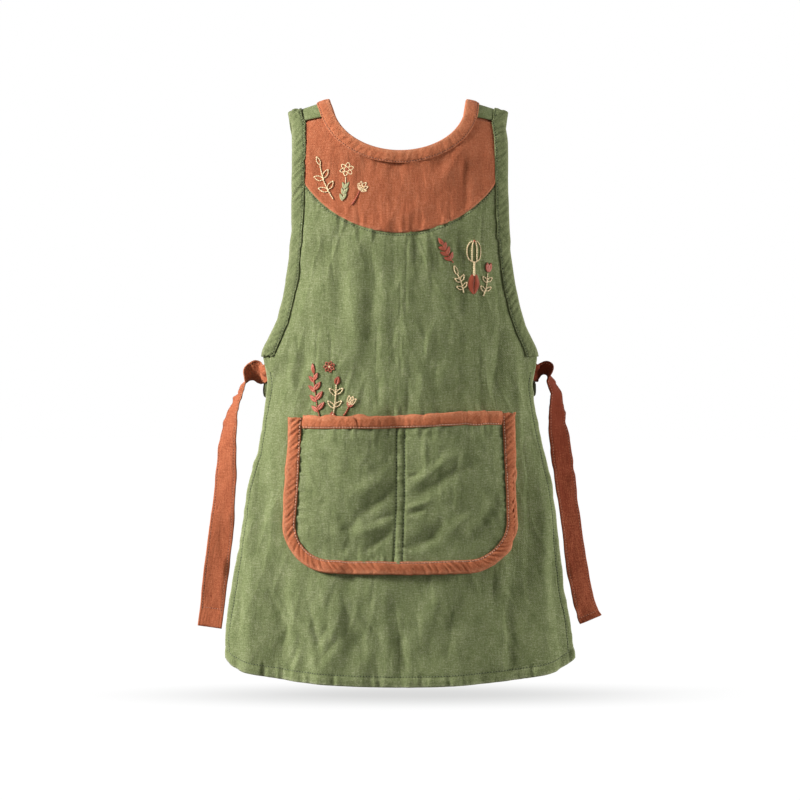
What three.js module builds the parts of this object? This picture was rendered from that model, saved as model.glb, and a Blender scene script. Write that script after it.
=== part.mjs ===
import * as THREE from 'three';

// Gardening apron for a small child, in the form that it keeps when worn.
// Millimetres, +Z up, the front faces -Y. The origin lies midway between the shoulders,
// level with the straps where they cross the shoulder line. Left and right are the viewer's.

// Main sizes
const apronLength = 581; // shoulder line to the hem, down the middle of the front
const underarmDrop = 253; // shoulder line to the underarm corners
const chestHalf = 107; // middle to armhole edge across the chest
const underarmHalf = 132; // middle to side edge just under the arms
const hemHalf = 176; // middle to side edge at the hem
const chestDepth = 76; // how far the front stands before the shoulder line under the chest
const hemDepth = 91; // the same at the hem
const backDepth = 77; // how far the straps stand behind the shoulder line
const hemRise = 27; // how much higher the hem ends at the sides than in the middle
const cornerPull = 5; // how far the ties draw out the underarm corners
const shoulderTuck = 4; // how much nearer the middle the right shoulder lies than the left
const skirtSway = 3; // how far the skirt swings to the left above the hem

// Neckline, yoke and shoulder straps
const neckHalf = 70; // half width that the neckline would have at the shoulder line
const neckDrop = 48.5; // shoulder line to the lowest point of the neckline
const neckRise = 5; // how far the neckline's curve aims above the shoulder line
const shoulderSeamDrop = 11; // shoulder line to the yoke's top seam at the neckline
const shoulderSeamSlope = 8; // how much lower that seam ends at the armhole
const yokeDrop = 130; // shoulder line to the lowest point of the yoke's seam
const yokeSideDrop = 59; // shoulder line to the ends of that seam at the armholes
const shoulderHalf = 92; // middle to the strap's centre line on the shoulder
const strapWidth = 41; // strap with its two bindings
const shoulderRound = 45; // height over which the shoulder rounds off
const shoulderSlope = 0.28; // how much of a level lie on the shoulders the straps give up
const strapLift = 4; // how far each strap gives way where the two cross
const strapTuck = 20; // strap's centre line under the underarm corner where it is sewn in
const strapEase = 2; // between a strap's end and the tie that is sewn in over it

// Cloth and trims
const linen = 1.2; // single thickness
const hemLinen = 2.6; // turned and sewn hem
const bottomHem = 10; // width of the bottom hem
const sideHem = 9; // width of the side hems
const bindingLinen = 1; // each leaf of a binding
const neckBinding = 12; // width of the neck binding
const armholeBinding = 13; // width of the armhole bindings
const pocketBinding = 11.5; // width of the pocket's bindings
const seamGap = 0.3; // between pieces that are sewn together
const foldGap = 1; // between a binding and the cloth that it is folded over

// Pocket
const pocketTop = 311; // shoulder line to the pocket's top edge
const pocketHeight = 157;
const pocketTopHalf = 109; // middle to side edge at the top
const pocketBottomHalf = 115; // middle to side edge above the round corners
const pocketCorner = 47; // radius of the bottom corners
const pocketSlack = 13; // how far each compartment stands off the apron

// Ties
const tieWidth = 26;
const tieLinen = 2.2; // two layers turned and pressed
const tieSeat = 14.5; // tie's centre line under the underarm corner where it is sewn in
const tieDrop = 258; // from there down to its free end
const tieReach = 62; // how far out of the side edge its free end hangs
const tieStand = 12; // how far behind the side edge it hangs

const degree = Math.PI / 180;
const quarterTurn = Math.PI / 2;
const { lerp, clamp, smoothstep } = THREE.MathUtils;

// Half sections of the apron, from the shoulder line to the underarm corners.
// at: share of the underarm drop. out: 0 at the chest's half width, 1 at the underarm's.
// forward, back: shares of the chest depth. wrap: angle that the half section turns through.
const bodiceRows = [
  { at: 0.05, out: 0.04, forward: 0.66, back: 0.24, wrap: 61.5 },
  { at: 0.13, out: 0.01, forward: 0.655, back: 0.1, wrap: 58.5 },
  { at: 0.22, out: 0, forward: 0.66, back: 0.01, wrap: 56.5 },
  { at: 0.37, out: 0.01, forward: 0.76, back: 0, wrap: 55.7 },
  { at: 0.5, out: 0.04, forward: 0.87, back: 0, wrap: 55.6 },
  { at: 0.66, out: 0.19, forward: 0.92, back: 0, wrap: 58.7 },
  { at: 0.76, out: 0.35, forward: 0.95, back: 0, wrap: 59.5 },
  { at: 0.85, out: 0.57, forward: 0.97, back: 0, wrap: 60 },
  { at: 0.925, out: 0.8, forward: 0.985, back: 0, wrap: 60.5 },
  { at: 1, out: 0.97, forward: 1, back: 0, wrap: 61 },
];

// Half sections of the skirt, from the underarm corners to the hem.
// at: share of the skirt's length. out: 0 at the underarm's half width, 1 at the hem's.
// forward: 0 at the chest depth, 1 at the hem depth. wrap: as above.
const skirtRows = [
  { at: 0.08, out: -0.01, forward: 0.1, wrap: 61.5 },
  { at: 0.17, out: 0.1, forward: 0.2, wrap: 61.5 },
  { at: 0.28, out: 0.25, forward: 0.3, wrap: 61 },
  { at: 0.43, out: 0.47, forward: 0.45, wrap: 60.5 },
  { at: 0.57, out: 0.6, forward: 0.55, wrap: 60 },
  { at: 0.72, out: 0.78, forward: 0.7, wrap: 60 },
  { at: 0.86, out: 0.94, forward: 0.85, wrap: 60 },
  { at: 1, out: 1, forward: 1, wrap: 60 },
];

// Long soft folds. at: share of the half section. spread: half width, as such a share.
// from: share of the apron's length where the fold starts. lean: drift outwards below it.
// swing: how far it stands out at the hem, as a share of the hem depth.
const folds = [
  { at: -0.83, spread: 0.1, from: 0.52, lean: 0.04, swing: 0.045 },
  { at: -0.58, spread: 0.12, from: 0.62, lean: -0.02, swing: -0.035 },
  { at: -0.33, spread: 0.12, from: 0.74, lean: -0.04, swing: 0.035 },
  { at: -0.06, spread: 0.11, from: 0.78, lean: 0, swing: -0.025 },
  { at: 0.18, spread: 0.11, from: 0.76, lean: 0.02, swing: 0.03 },
  { at: 0.45, spread: 0.12, from: 0.7, lean: 0.04, swing: -0.035 },
  { at: 0.68, spread: 0.1, from: 0.5, lean: 0.05, swing: 0.05 },
  { at: 0.88, spread: 0.09, from: 0.5, lean: 0.02, swing: -0.03 },
];

// Centre line of a strap from the shoulder to its end under the other arm.
// across: share of the shoulder's half width on its own side, or, where negative, of the
// underarm's on the other side. back: share of the back depth. down: share of the underarm drop.
const strapRows = [
  { across: 0.99, back: -0.09, down: 0.016 },
  { across: 1, back: 0, down: 0 },
  { across: 1, back: 0.1, down: 0.012 },
  { across: 0.99, back: 0.24, down: 0.055 },
  { across: 0.935, back: 0.45, down: 0.14 },
  { across: 0.82, back: 0.65, down: 0.25 },
  { across: 0.6, back: 0.84, down: 0.39 },
  { across: 0.27, back: 0.96, down: 0.55 },
  { across: 0, back: 1, down: 0.67 },
  { across: -0.24, back: 0.98, down: 0.78 },
  { across: -0.49, back: 0.88, down: 0.87 },
  { across: -0.74, back: 0.66, down: 0.96 },
  { across: -0.93, back: 0.32, down: 1.02 },
  { across: -1.01, back: -0.06, down: 1.06 },
];

// Centre line of each tie from the side edge to its free end, and the lie of its width.
// out: share of the tie's reach. back: share of its stand-off. down: share of its drop.
// x, y, z: direction across the tie, x pointing outwards.
const tieRows = {
  left: [
    { out: 0.13, back: 0.75, down: 0.003, x: 0.1, y: 0.2, z: -0.97 },
    { out: 0.22, back: 0.95, down: 0.012, x: 0.2, y: 0.42, z: -0.87 },
    { out: 0.31, back: 1.1, down: 0.024, x: 0.32, y: 0.62, z: -0.68 },
    { out: 0.39, back: 1.15, down: 0.045, x: 0.35, y: 0.8, z: -0.45 },
    { out: 0.455, back: 1.15, down: 0.07, x: 0.28, y: 0.94, z: -0.15 },
    { out: 0.505, back: 1.1, down: 0.095, x: 0.23, y: 0.97, z: 0 },
    { out: 0.545, back: 1.05, down: 0.12, x: 0.3, y: 0.95, z: 0 },
    { out: 0.6, back: 1, down: 0.16, x: 0.43, y: 0.9, z: 0 },
    { out: 0.64, back: 0.9, down: 0.22, x: 0.57, y: 0.82, z: 0 },
    { out: 0.68, back: 0.85, down: 0.32, x: 0.7, y: 0.71, z: 0 },
    { out: 0.71, back: 0.8, down: 0.46, x: 0.85, y: 0.53, z: 0 },
    { out: 0.77, back: 0.8, down: 0.62, x: 0.93, y: 0.37, z: 0 },
    { out: 0.85, back: 0.8, down: 0.79, x: 0.97, y: 0.24, z: 0 },
    { out: 0.955, back: 0.8, down: 1, x: 0.93, y: 0.3, z: 0 },
  ],
  right: [
    { out: 0.1, back: 0.7, down: -0.006, x: 0.1, y: 0.15, z: -0.97 },
    { out: 0.2, back: 0.95, down: 0.002, x: 0.35, y: 0.5, z: -0.78 },
    { out: 0.27, back: 1.1, down: 0.022, x: 0.45, y: 0.65, z: -0.6 },
    { out: 0.335, back: 1.15, down: 0.054, x: 0.5, y: 0.75, z: -0.42 },
    { out: 0.385, back: 1.15, down: 0.085, x: 0.48, y: 0.85, z: -0.18 },
    { out: 0.395, back: 1.1, down: 0.118, x: 0.5, y: 0.86, z: 0 },
    { out: 0.39, back: 1.05, down: 0.15, x: 0.6, y: 0.8, z: 0 },
    { out: 0.395, back: 1, down: 0.185, x: 0.7, y: 0.71, z: 0 },
    { out: 0.42, back: 0.9, down: 0.24, x: 0.77, y: 0.64, z: 0 },
    { out: 0.46, back: 0.85, down: 0.305, x: 0.8, y: 0.6, z: 0 },
    { out: 0.505, back: 0.8, down: 0.375, x: 0.82, y: 0.57, z: 0 },
    { out: 0.555, back: 0.75, down: 0.455, x: 0.82, y: 0.57, z: 0 },
    { out: 0.625, back: 0.7, down: 0.58, x: 0.82, y: 0.57, z: 0 },
    { out: 0.715, back: 0.7, down: 0.74, x: 0.83, y: 0.56, z: 0 },
    { out: 0.8, back: 0.7, down: 0.85, x: 0.86, y: 0.51, z: 0 },
    { out: 0.88, back: 0.7, down: 0.92, x: 0.88, y: 0.47, z: 0 },
    { out: 0.96, back: 0.7, down: 0.97, x: 0.9, y: 0.43, z: 0 },
  ],
};

const skirtLength = apronLength - underarmDrop;
const tieSeatDepth = linen + foldGap + bindingLinen + seamGap; // outer face to a tie's seat
const sections = [
  ...bodiceRows.map((row) => ({
    at: row.at * underarmDrop,
    half: lerp(chestHalf, underarmHalf, row.out),
    forward: row.forward * chestDepth,
    back: row.back * chestDepth,
    wrap: row.wrap * degree,
  })),
  ...skirtRows.map((row) => ({
    at: underarmDrop + row.at * skirtLength,
    half: lerp(underarmHalf, hemHalf, row.out),
    forward: lerp(chestDepth, hemDepth, row.forward),
    back: 0,
    wrap: row.wrap * degree,
  })),
];

// Reads one column of a table whose rows stand at growing values of `at`, along a curve
// that never swings past the rows' own values.
function read(rows, column, at) {
  let first = 0;
  while (first < rows.length - 2 && at > rows[first + 1].at) first += 1;
  const rise = (index) => {
    const from = rows[clamp(index, 0, rows.length - 2)];
    const to = rows[clamp(index, 0, rows.length - 2) + 1];
    return (to[column] - from[column]) / (to.at - from.at);
  };
  const between = (one, other) => (one * other > 0 ? (2 * one * other) / (one + other) : 0);
  const span = rows[first + 1].at - rows[first].at;
  const share = (at - rows[first].at) / span;
  if (share < 0 || share > 1) {
    const end = share < 0 ? rows[first] : rows[first + 1];
    return end[column] + rise(first) * (at - end.at);
  }
  const leave = span * between(rise(first - 1), rise(first));
  const arrive = span * between(rise(first), rise(first + 1));
  const square = share * share;
  const cube = square * share;
  return (
    (2 * cube - 3 * square + 1) * rows[first][column] +
    (cube - 2 * square + share) * leave +
    (3 * square - 2 * cube) * rows[first + 1][column] +
    (cube - square) * arrive
  );
}

const bell = (distance, spread) => Math.exp(-((distance / spread) ** 2));

// How far the soft folds push the cloth out at a share of the half section and a height.
function foldDepth(share, z) {
  const down = -z / apronLength;
  return folds.reduce((sum, fold) => {
    const below = smoothstep(down, fold.from, 1);
    const drift = fold.at + fold.lean * below;
    return sum + fold.swing * hemDepth * below * bell(share - drift, fold.spread);
  }, 0);
}

// A point of the apron's outer face: share runs from -1 at the left edge to 1 at the right.
function formPoint(share, z) {
  const half = read(sections, 'half', -z);
  const wrap = read(sections, 'wrap', -z);
  const reach = half / Math.sin(Math.min(wrap, quarterTurn));
  const angle = share * wrap;
  const fold = foldDepth(share, z);
  const forward = read(sections, 'forward', -z) + fold;
  const pull = cornerPull * bell(z + underarmDrop, 0.09 * underarmDrop) * Math.abs(share) ** 8;
  const atShoulder = smoothstep(z, -0.16 * underarmDrop, -shoulderSeamDrop);
  const tuck = shoulderTuck * atShoulder * Math.max(share, 0) ** 2;
  const sway = skirtSway * bell(z + underarmDrop + 0.7 * skirtLength, 0.2 * skirtLength);
  return new THREE.Vector3(
    (reach + fold) * Math.sin(angle) + Math.sign(share) * pull - tuck - sway,
    read(sections, 'back', -z) - forward * Math.cos(angle),
    z,
  );
}

// Directions along the outer face, across and up, and out of it.
function formFrame(share, z) {
  const step = 0.01;
  const rise = 1;
  const across = formPoint(share + step, z).sub(formPoint(share - step, z)).divideScalar(2 * step);
  const up = formPoint(share, z + rise).sub(formPoint(share, z - rise)).divideScalar(2 * rise);
  const out = across.clone().cross(up).normalize();
  return { across, up, out };
}

// The same point, moved out of the face by a distance.
function cloth(share, z, out) {
  return formPoint(share, z).addScaledVector(formFrame(share, z).out, out);
}

// The share of the half section at which the apron is x wide.
function shareAt(x, z) {
  const wrap = read(sections, 'wrap', -z);
  const reach = read(sections, 'half', -z) / Math.sin(Math.min(wrap, quarterTurn));
  return Math.asin(clamp(x / reach, -1, 1)) / wrap;
}

// A point beside an edge drawn on the apron: distance inwards over the cloth, then out of it.
// edge(t) gives the share and height at t, and inside says on which hand the cloth lies.
function besideEdge(edge, t, inside, distance, out) {
  const step = 0.004;
  const { share, z } = edge(t);
  const before = edge(t - step);
  const after = edge(t + step);
  const along = formPoint(after.share, after.z).sub(formPoint(before.share, before.z)).normalize();
  const frame = formFrame(share, z);
  const inwards = frame.out.clone().cross(along).multiplyScalar(inside);
  const mixed = frame.across.dot(frame.up);
  const area = frame.across.lengthSq() * frame.up.lengthSq() - mixed * mixed;
  const sideways = inwards.dot(frame.across);
  const upwards = inwards.dot(frame.up);
  const shareStep = (sideways * frame.up.lengthSq() - upwards * mixed) / area;
  const heightStep = (upwards * frame.across.lengthSq() - sideways * mixed) / area;
  return cloth(share + distance * shareStep, z + distance * heightStep, out);
}

const steps = (from, to, count) =>
  Array.from({ length: count + 1 }, (_, index) => lerp(from, to, index / count));

// A closed cloth wall. place(u, v, face) gives the point of its outer face where face is 1
// and of its inner face where face is 0.
function wall(name, material, columns, rows, place) {
  const points = [];
  for (const face of [1, 0]) {
    for (const v of rows) {
      for (const u of columns) points.push(place(u, v, face));
    }
  }
  const corner = (face, row, column) => ((1 - face) * rows.length + row) * columns.length + column;
  const quads = [];
  for (let row = 0; row < rows.length - 1; row += 1) {
    for (let column = 0; column < columns.length - 1; column += 1) {
      const ring = (face) => [
        corner(face, row, column),
        corner(face, row, column + 1),
        corner(face, row + 1, column + 1),
        corner(face, row + 1, column),
      ];
      quads.push(ring(1), ring(0).reverse());
    }
    const last = columns.length - 1;
    const left = [corner(1, row + 1, 0), corner(0, row + 1, 0), corner(0, row, 0), corner(1, row, 0)];
    const right = [
      corner(1, row, last),
      corner(0, row, last),
      corner(0, row + 1, last),
      corner(1, row + 1, last),
    ];
    quads.push(left, right);
  }
  for (let column = 0; column < columns.length - 1; column += 1) {
    const last = rows.length - 1;
    const top = [
      corner(1, 0, column + 1),
      corner(1, 0, column),
      corner(0, 0, column),
      corner(0, 0, column + 1),
    ];
    const bottom = [
      corner(1, last, column),
      corner(1, last, column + 1),
      corner(0, last, column + 1),
      corner(0, last, column),
    ];
    quads.push(top, bottom);
  }
  const triangles = quads.flatMap(([a, b, c, d]) => [[a, b, c], [a, c, d]]);
  const volume = triangles.reduce(
    (sum, [a, b, c]) => sum + points[a].dot(points[b].clone().cross(points[c])),
    0,
  );
  const faces = volume < 0 ? triangles.map((triangle) => [...triangle].reverse()) : triangles;
  const geometry = new THREE.BufferGeometry().setFromPoints(points);
  geometry.setIndex(faces.flat());
  geometry.computeVertexNormals();
  const mesh = new THREE.Mesh(geometry, material);
  mesh.name = name;
  return mesh;
}

// Section of a binding folded round an edge: [distance inwards, distance out of the cloth].
// turn runs from 0 at the front leaf's inner edge to 4 at the back leaf's.
function bindingSection(width, turn, face) {
  const leaf = face === 1 ? foldGap + bindingLinen : foldGap;
  const bend = face === 1 ? -0.5 * bindingLinen : -0.5 * foldGap;
  return [
    [width, leaf],
    [bend, leaf],
    [-leaf, -linen / 2],
    [bend, -linen - leaf],
    [width, -linen - leaf],
  ][turn];
}
const bindingTurns = [0, 1, 2, 3, 4];

// Stations that neighbouring pieces share, so that their facets lie alike
const neckPart = 0.7; // share of the yoke's half width that ends at the neckline
const neckStations = steps(-1, 1, 16);
const yokeStations = steps(0, 1, 6);
const armholeStations = steps(0, 1, 12);
const outerColumns = [0.775, 0.85];
const frontColumns = [
  ...outerColumns.map((share) => -share).reverse(),
  ...neckStations.map((station) => station * neckPart),
  ...outerColumns,
];
const seamEndShare = 0.002; // how far past the shoulder seam a strap's first station lies
const shoulderStations = steps(0, 0.34, 18).slice(1);
const backStations = steps(0.34, 1, 14).slice(1);
const strapStations = [seamEndShare, ...shoulderStations, ...backStations];

// Edges drawn on the apron
const shoulderSeamEnd = shoulderSeamDrop + shoulderSeamSlope;
const neckAngle = Math.acos((neckRise + shoulderSeamDrop) / (neckRise + neckDrop));
const neckEdge = (t) => {
  const angle = t * neckAngle;
  const z = neckRise - (neckRise + neckDrop) * Math.cos(angle);
  return { share: shareAt(neckHalf * Math.sin(angle), z), z };
};
// An armhole edge by its drop from the shoulder line
const armholeEdge = (side) => (drop) => ({ share: side, z: -drop });

const seamSag = yokeDrop - yokeSideDrop;
const seamRadius = (chestHalf ** 2 + seamSag ** 2) / (2 * seamSag);
function yokeSeam(share) {
  const lowest = -yokeDrop;
  const arc = (x) => lowest + seamRadius - Math.sqrt(Math.max(seamRadius ** 2 - x ** 2, 0));
  let z = lowest;
  for (let round = 0; round < 8; round += 1) z = arc(formPoint(share, z).x);
  return z;
}
const hemLine = (share) => -apronLength + hemRise * (0.72 * share ** 2 + 0.28 * share ** 12);

// A strap's run: its centre line, the direction across it towards the neck, and out of it
function strapRun(side) {
  const neckEnd = neckEdge(side);
  const armEnd = armholeEdge(side)(shoulderSeamEnd);
  const seamNeck = formPoint(neckEnd.share, neckEnd.z);
  const seamArm = formPoint(armEnd.share, armEnd.z);
  const seamMiddle = seamNeck.clone().add(seamArm).multiplyScalar(0.5);
  const seamAcross = seamNeck.clone().sub(seamArm);
  const seamShare = (neckEnd.share + armEnd.share) / 2;
  const seamCrown = formPoint(seamShare, (neckEnd.z + armEnd.z) / 2).distanceTo(seamMiddle);
  const other = -side;
  const seat = tieSeatDepth + tieLinen + strapEase + bindingLinen + foldGap;
  const sewn = (share, drop) => cloth(other * share, -underarmDrop - drop, -seat);
  const lift = (x) => strapLift * side * Math.exp(-((x / strapWidth) ** 4));
  const ownHalf = shoulderHalf - (side > 0 ? shoulderTuck : 0);
  const middle = strapRows.map((row) => {
    const x = side * row.across * (row.across < 0 ? underarmHalf : ownHalf);
    return new THREE.Vector3(x, row.back * backDepth - lift(x), -row.down * underarmDrop);
  });
  const route = [seamMiddle, ...middle, sewn(1.05, strapTuck), sewn(0.9, strapTuck)];
  const curve = new THREE.CatmullRomCurve3(route, false, 'centripetal');
  const length = curve.getLength();
  return (t) => {
    const centre = curve.getPointAt(t);
    const along = curve.getTangentAt(t);
    const body = new THREE.Vector3(
      centre.x / underarmHalf ** 2,
      centre.y / backDepth ** 2,
      ((1 - shoulderSlope) * Math.max(centre.z + shoulderRound, 0)) / shoulderRound ** 2,
    );
    const settled = smoothstep(t * length, 0, shoulderRound / 2);
    const across = along.clone().cross(body).normalize().multiplyScalar(-side);
    across.lerp(seamAcross.clone().normalize(), 1 - settled).normalize();
    const out = across.clone().cross(along).normalize().multiplyScalar(-side);
    const width = lerp(seamAcross.length(), strapWidth, settled);
    return { centre, across, out, width, crown: seamCrown * (1 - settled) };
  };
}

// A point of a strap: offset towards the neck from its centre line, then out of it.
function onStrap({ centre, across, out, width, crown }, offset, lifted) {
  const rise = crown * (1 - ((2 * offset) / width) ** 2);
  return centre.clone().addScaledVector(across, offset).addScaledVector(out, rise + lifted);
}

// Finishes
const greenLinen = new THREE.MeshStandardMaterial({ color: 0x76805a, roughness: 0.92, metalness: 0 });
const greenTrim = new THREE.MeshStandardMaterial({ color: 0x7c8560, roughness: 0.92, metalness: 0 });
const rustLinen = new THREE.MeshStandardMaterial({ color: 0xb0694b, roughness: 0.92, metalness: 0 });
const rustTrim = new THREE.MeshStandardMaterial({ color: 0xbb7752, roughness: 0.92, metalness: 0 });

// Green panel: the whole front below the yoke, with its side and bottom hems turned inwards
function bodyPanel() {
  const edgeTop = yokeSeam(1) - seamGap;
  const edgeLength = edgeTop - hemLine(1);
  const corner = (edgeTop + underarmDrop) / edgeLength;
  const hemStart = 1 - bottomHem / (apronLength - yokeDrop);
  const sideStart = corner + armholeBinding / edgeLength;
  const hemShare = 1 - sideHem / underarmHalf;
  const sliver = 0.003;
  const edgeColumns = [-1, -hemShare - sliver, -hemShare + sliver];
  const columns = [
    ...edgeColumns,
    ...frontColumns,
    ...edgeColumns.map((share) => -share).reverse(),
  ];
  const rows = [
    ...armholeStations.map((station) => station * corner),
    sideStart,
    ...steps(sideStart + sliver, hemStart - sliver, 15),
    hemStart + sliver,
    1,
  ];
  return wall('body_panel', greenLinen, columns, rows, (share, v, face) => {
    const z = lerp(yokeSeam(share) - seamGap, hemLine(share), v);
    const turned = v > hemStart || (v > sideStart && Math.abs(share) > hemShare);
    const thickness = turned ? hemLinen : linen;
    return cloth(share, z, face === 1 ? 0 : -thickness);
  });
}

// Rust yoke between the neckline, the shoulder seams, the armholes and the curved seam
function yoke() {
  const top = (u) => {
    const side = Math.sign(u);
    if (Math.abs(u) <= neckPart) return neckEdge(u / neckPart);
    const over = (Math.abs(u) - neckPart) / (1 - neckPart);
    const inner = neckEdge(side);
    const outer = armholeEdge(side)(shoulderSeamEnd);
    return { share: lerp(inner.share, outer.share, over), z: lerp(inner.z, outer.z, over) - seamGap };
  };
  const columns = [-1, -0.93, ...frontColumns, 0.93, 1];
  return wall('yoke', rustLinen, columns, yokeStations, (u, v, face) => {
    const from = top(u);
    const share = lerp(from.share, u, v);
    const z = lerp(from.z, yokeSeam(u), v);
    return cloth(share, z, face === 1 ? 0 : -linen);
  });
}

// Green strap over a shoulder, crossing the back to the other underarm corner
function shoulderStrap(name, side) {
  const run = strapRun(side);
  return wall(name, greenLinen, [-1, -0.34, 0.34, 1], strapStations, (u, t, face) => {
    const station = run(t);
    return onStrap(station, (u * station.width) / 2, face === 1 ? 0 : -linen);
  });
}

// Binding folded over the neckline and, beyond it, over the neck edge of both straps
function neckTrim() {
  const runs = { '-1': strapRun(-1), 1: strapRun(1) };
  const beyond = strapStations.map((station) => 1 + station);
  const before = 1 - seamEndShare;
  const between = [-before, ...neckStations.slice(1, -1), before];
  const rows = [...beyond.map((t) => -t).reverse(), ...between, ...beyond];
  return wall('neck_binding', rustTrim, bindingTurns, rows, (turn, t, face) => {
    const [inwards, out] = bindingSection(neckBinding, turn, face);
    if (Math.abs(t) < 1) return besideEdge(neckEdge, t, -1, inwards, out);
    const station = runs[Math.sign(t)](Math.abs(t) - 1);
    return onStrap(station, station.width / 2 - inwards, out);
  });
}

// Binding folded over an armhole and, beyond the shoulder seam, over the strap's outer edge
function armholeTrim(name, side) {
  const run = strapRun(side);
  const edge = armholeEdge(side);
  const seamEnd = -yokeSeam(side);
  const drops = [
    ...yokeStations.map((station) => lerp(shoulderSeamEnd, seamEnd, station)),
    ...armholeStations.slice(1).map((station) => lerp(seamEnd, underarmDrop, station)),
  ];
  const places = [
    ...drops.map((drop) => ({ drop })).reverse(),
    ...strapStations.map((t) => ({ t })),
  ];
  return wall(name, greenTrim, bindingTurns, places, (turn, { drop, t }, face) => {
    const [inwards, out] = bindingSection(armholeBinding, turn, face);
    if (t === undefined) return besideEdge(edge, drop, -side, inwards, out);
    const station = run(t);
    return onStrap(station, inwards - station.width / 2, out);
  });
}

// Pocket: where its cloth lies over the apron, and its outline
const pocketLay = 2 * seamGap + bindingLinen + foldGap + linen;
const pocketBottom = pocketTop + pocketHeight;
const cornerStart = pocketBottom - pocketCorner;
function pocketHalf(z) {
  const down = clamp((-z - pocketTop) / (cornerStart - pocketTop), 0, 1);
  const side = lerp(pocketTopHalf, pocketBottomHalf, down);
  const into = clamp(-z - cornerStart, 0, pocketCorner);
  return side - pocketCorner + Math.sqrt(pocketCorner ** 2 - into ** 2);
}
function pocketPoint(x, z, out) {
  const inner = pocketHalf(z) - pocketBinding;
  const across = clamp(Math.abs(x) / inner, 0, 1);
  const down = clamp((-z - pocketTop) / (pocketHeight - pocketBinding), 0, 1);
  const stand = pocketSlack * Math.sin(Math.PI * across) ** 1.2 * Math.cos(quarterTurn * down) ** 1.2;
  return cloth(shareAt(x, z), z, pocketLay + stand + out);
}
function pocketEdge(t) {
  const turn = (Math.PI * pocketCorner) / 2;
  const sideLength = cornerStart - pocketTop;
  const flat = pocketBottomHalf - pocketCorner;
  const total = sideLength + turn + flat;
  const gone = (1 - Math.abs(t)) * total;
  const side = Math.sign(t);
  if (gone < sideLength) {
    const down = gone / sideLength;
    return { x: side * lerp(pocketTopHalf, pocketBottomHalf, down), z: -pocketTop - gone, angle: 0, side };
  }
  const angle = Math.min((gone - sideLength) / pocketCorner, quarterTurn);
  const rest = Math.max(gone - sideLength - turn, 0);
  const x = flat - rest + pocketCorner * Math.cos(angle);
  return { x: side * x, z: -cornerStart - pocketCorner * Math.sin(angle), angle, side };
}

function pocketPanel() {
  const lean = 0.4;
  const rows = [...steps(0, 0.62, 6), 0.72, 0.8, 0.87, 0.93, 0.97, 1];
  const columns = [-1, ...steps(-0.88, -0.06, 8), 0, ...steps(0.06, 0.88, 8), 1];
  return wall('pocket_panel', greenLinen, columns, rows, (u, v, face) => {
    const z = -lerp(pocketTop, pocketBottom - lean, v);
    return pocketPoint(u * pocketHalf(z), z, face === 1 ? 0 : -linen);
  });
}

function pocketSideTrim() {
  const corners = [0.32, 0.38, 0.44, 0.5, 0.56, 0.62];
  const half = [0.001, 0.08, 0.16, 0.24, ...corners, 0.7, 0.79, 0.88, 0.96, 1];
  const rows = [...half.map((t) => -t).reverse(), ...half];
  return wall('pocket_side_binding', rustTrim, bindingTurns, rows, (turn, t, face) => {
    const [inwards, out] = bindingSection(pocketBinding, turn, face);
    const { x, z, angle, side } = pocketEdge(t);
    return pocketPoint(x - side * inwards * Math.cos(angle), z + inwards * Math.sin(angle), out);
  });
}

function pocketTopTrim() {
  const reach = pocketTopHalf - pocketBinding - seamGap;
  const columns = steps(-reach, reach, 24);
  return wall('pocket_top_binding', rustTrim, bindingTurns, columns, (turn, x, face) => {
    const [inwards, out] = bindingSection(pocketBinding, turn, face);
    return pocketPoint(x, -pocketTop - inwards, out);
  });
}

// Tie sewn inside the side edge under an armhole, hanging free from there
function tie(name, side, rows) {
  const seat = tieSeatDepth + tieLinen / 2;
  const height = -underarmDrop - tieSeat;
  const sewn = (share) => cloth(side * share, height, -seat);
  const upright = (share) => formFrame(side * share, height).up.negate().normalize();
  const edge = sewn(1);
  const stations = [
    ...[0.88, 0.96, 1.04].map((share) => ({ point: sewn(share), lie: upright(share) })),
    ...rows.map((row) => ({
      point: new THREE.Vector3(
        edge.x + side * row.out * tieReach,
        edge.y + row.back * tieStand,
        edge.z - row.down * tieDrop,
      ),
      lie: new THREE.Vector3(side * row.x, row.y, row.z),
    })),
  ];
  const route = new THREE.CatmullRomCurve3(stations.map((station) => station.point), false, 'centripetal');
  const lies = new THREE.CatmullRomCurve3(stations.map((station) => station.lie), false, 'centripetal');
  return wall(name, rustLinen, [-1, 0, 1], steps(0, 1, 44), (u, t, face) => {
    const point = route.getPoint(t);
    const along = route.getTangent(t);
    const lie = lies.getPoint(t);
    const across = lie.addScaledVector(along, -lie.dot(along)).normalize();
    const out = across.clone().cross(along).normalize();
    const lifted = (face - 0.5) * tieLinen;
    return point.addScaledVector(across, (u * tieWidth) / 2).addScaledVector(out, lifted);
  });
}

const apron = new THREE.Group();
apron.name = 'gardening_apron';
apron.add(
  bodyPanel(),
  yoke(),
  shoulderStrap('shoulder_strap_left', -1),
  shoulderStrap('shoulder_strap_right', 1),
  neckTrim(),
  armholeTrim('armhole_binding_left', -1),
  armholeTrim('armhole_binding_right', 1),
  pocketPanel(),
  pocketSideTrim(),
  pocketTopTrim(),
  tie('tie_left', -1, tieRows.left),
  tie('tie_right', 1, tieRows.right),
);

export default apron;
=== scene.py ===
"""Gardening apron for a small child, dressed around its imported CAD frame.

Green and rust linen: a front panel and yoke, cross-back straps, folded bindings,
a divided pocket, two ties, topstitching and embroidered sprigs and tools.
Lengths in the tables are millimetres, and meshes are written in metres.
"""

import logging
import math
from dataclasses import dataclass, field
from enum import Enum
from typing import Callable, Iterable, Sequence

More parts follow.
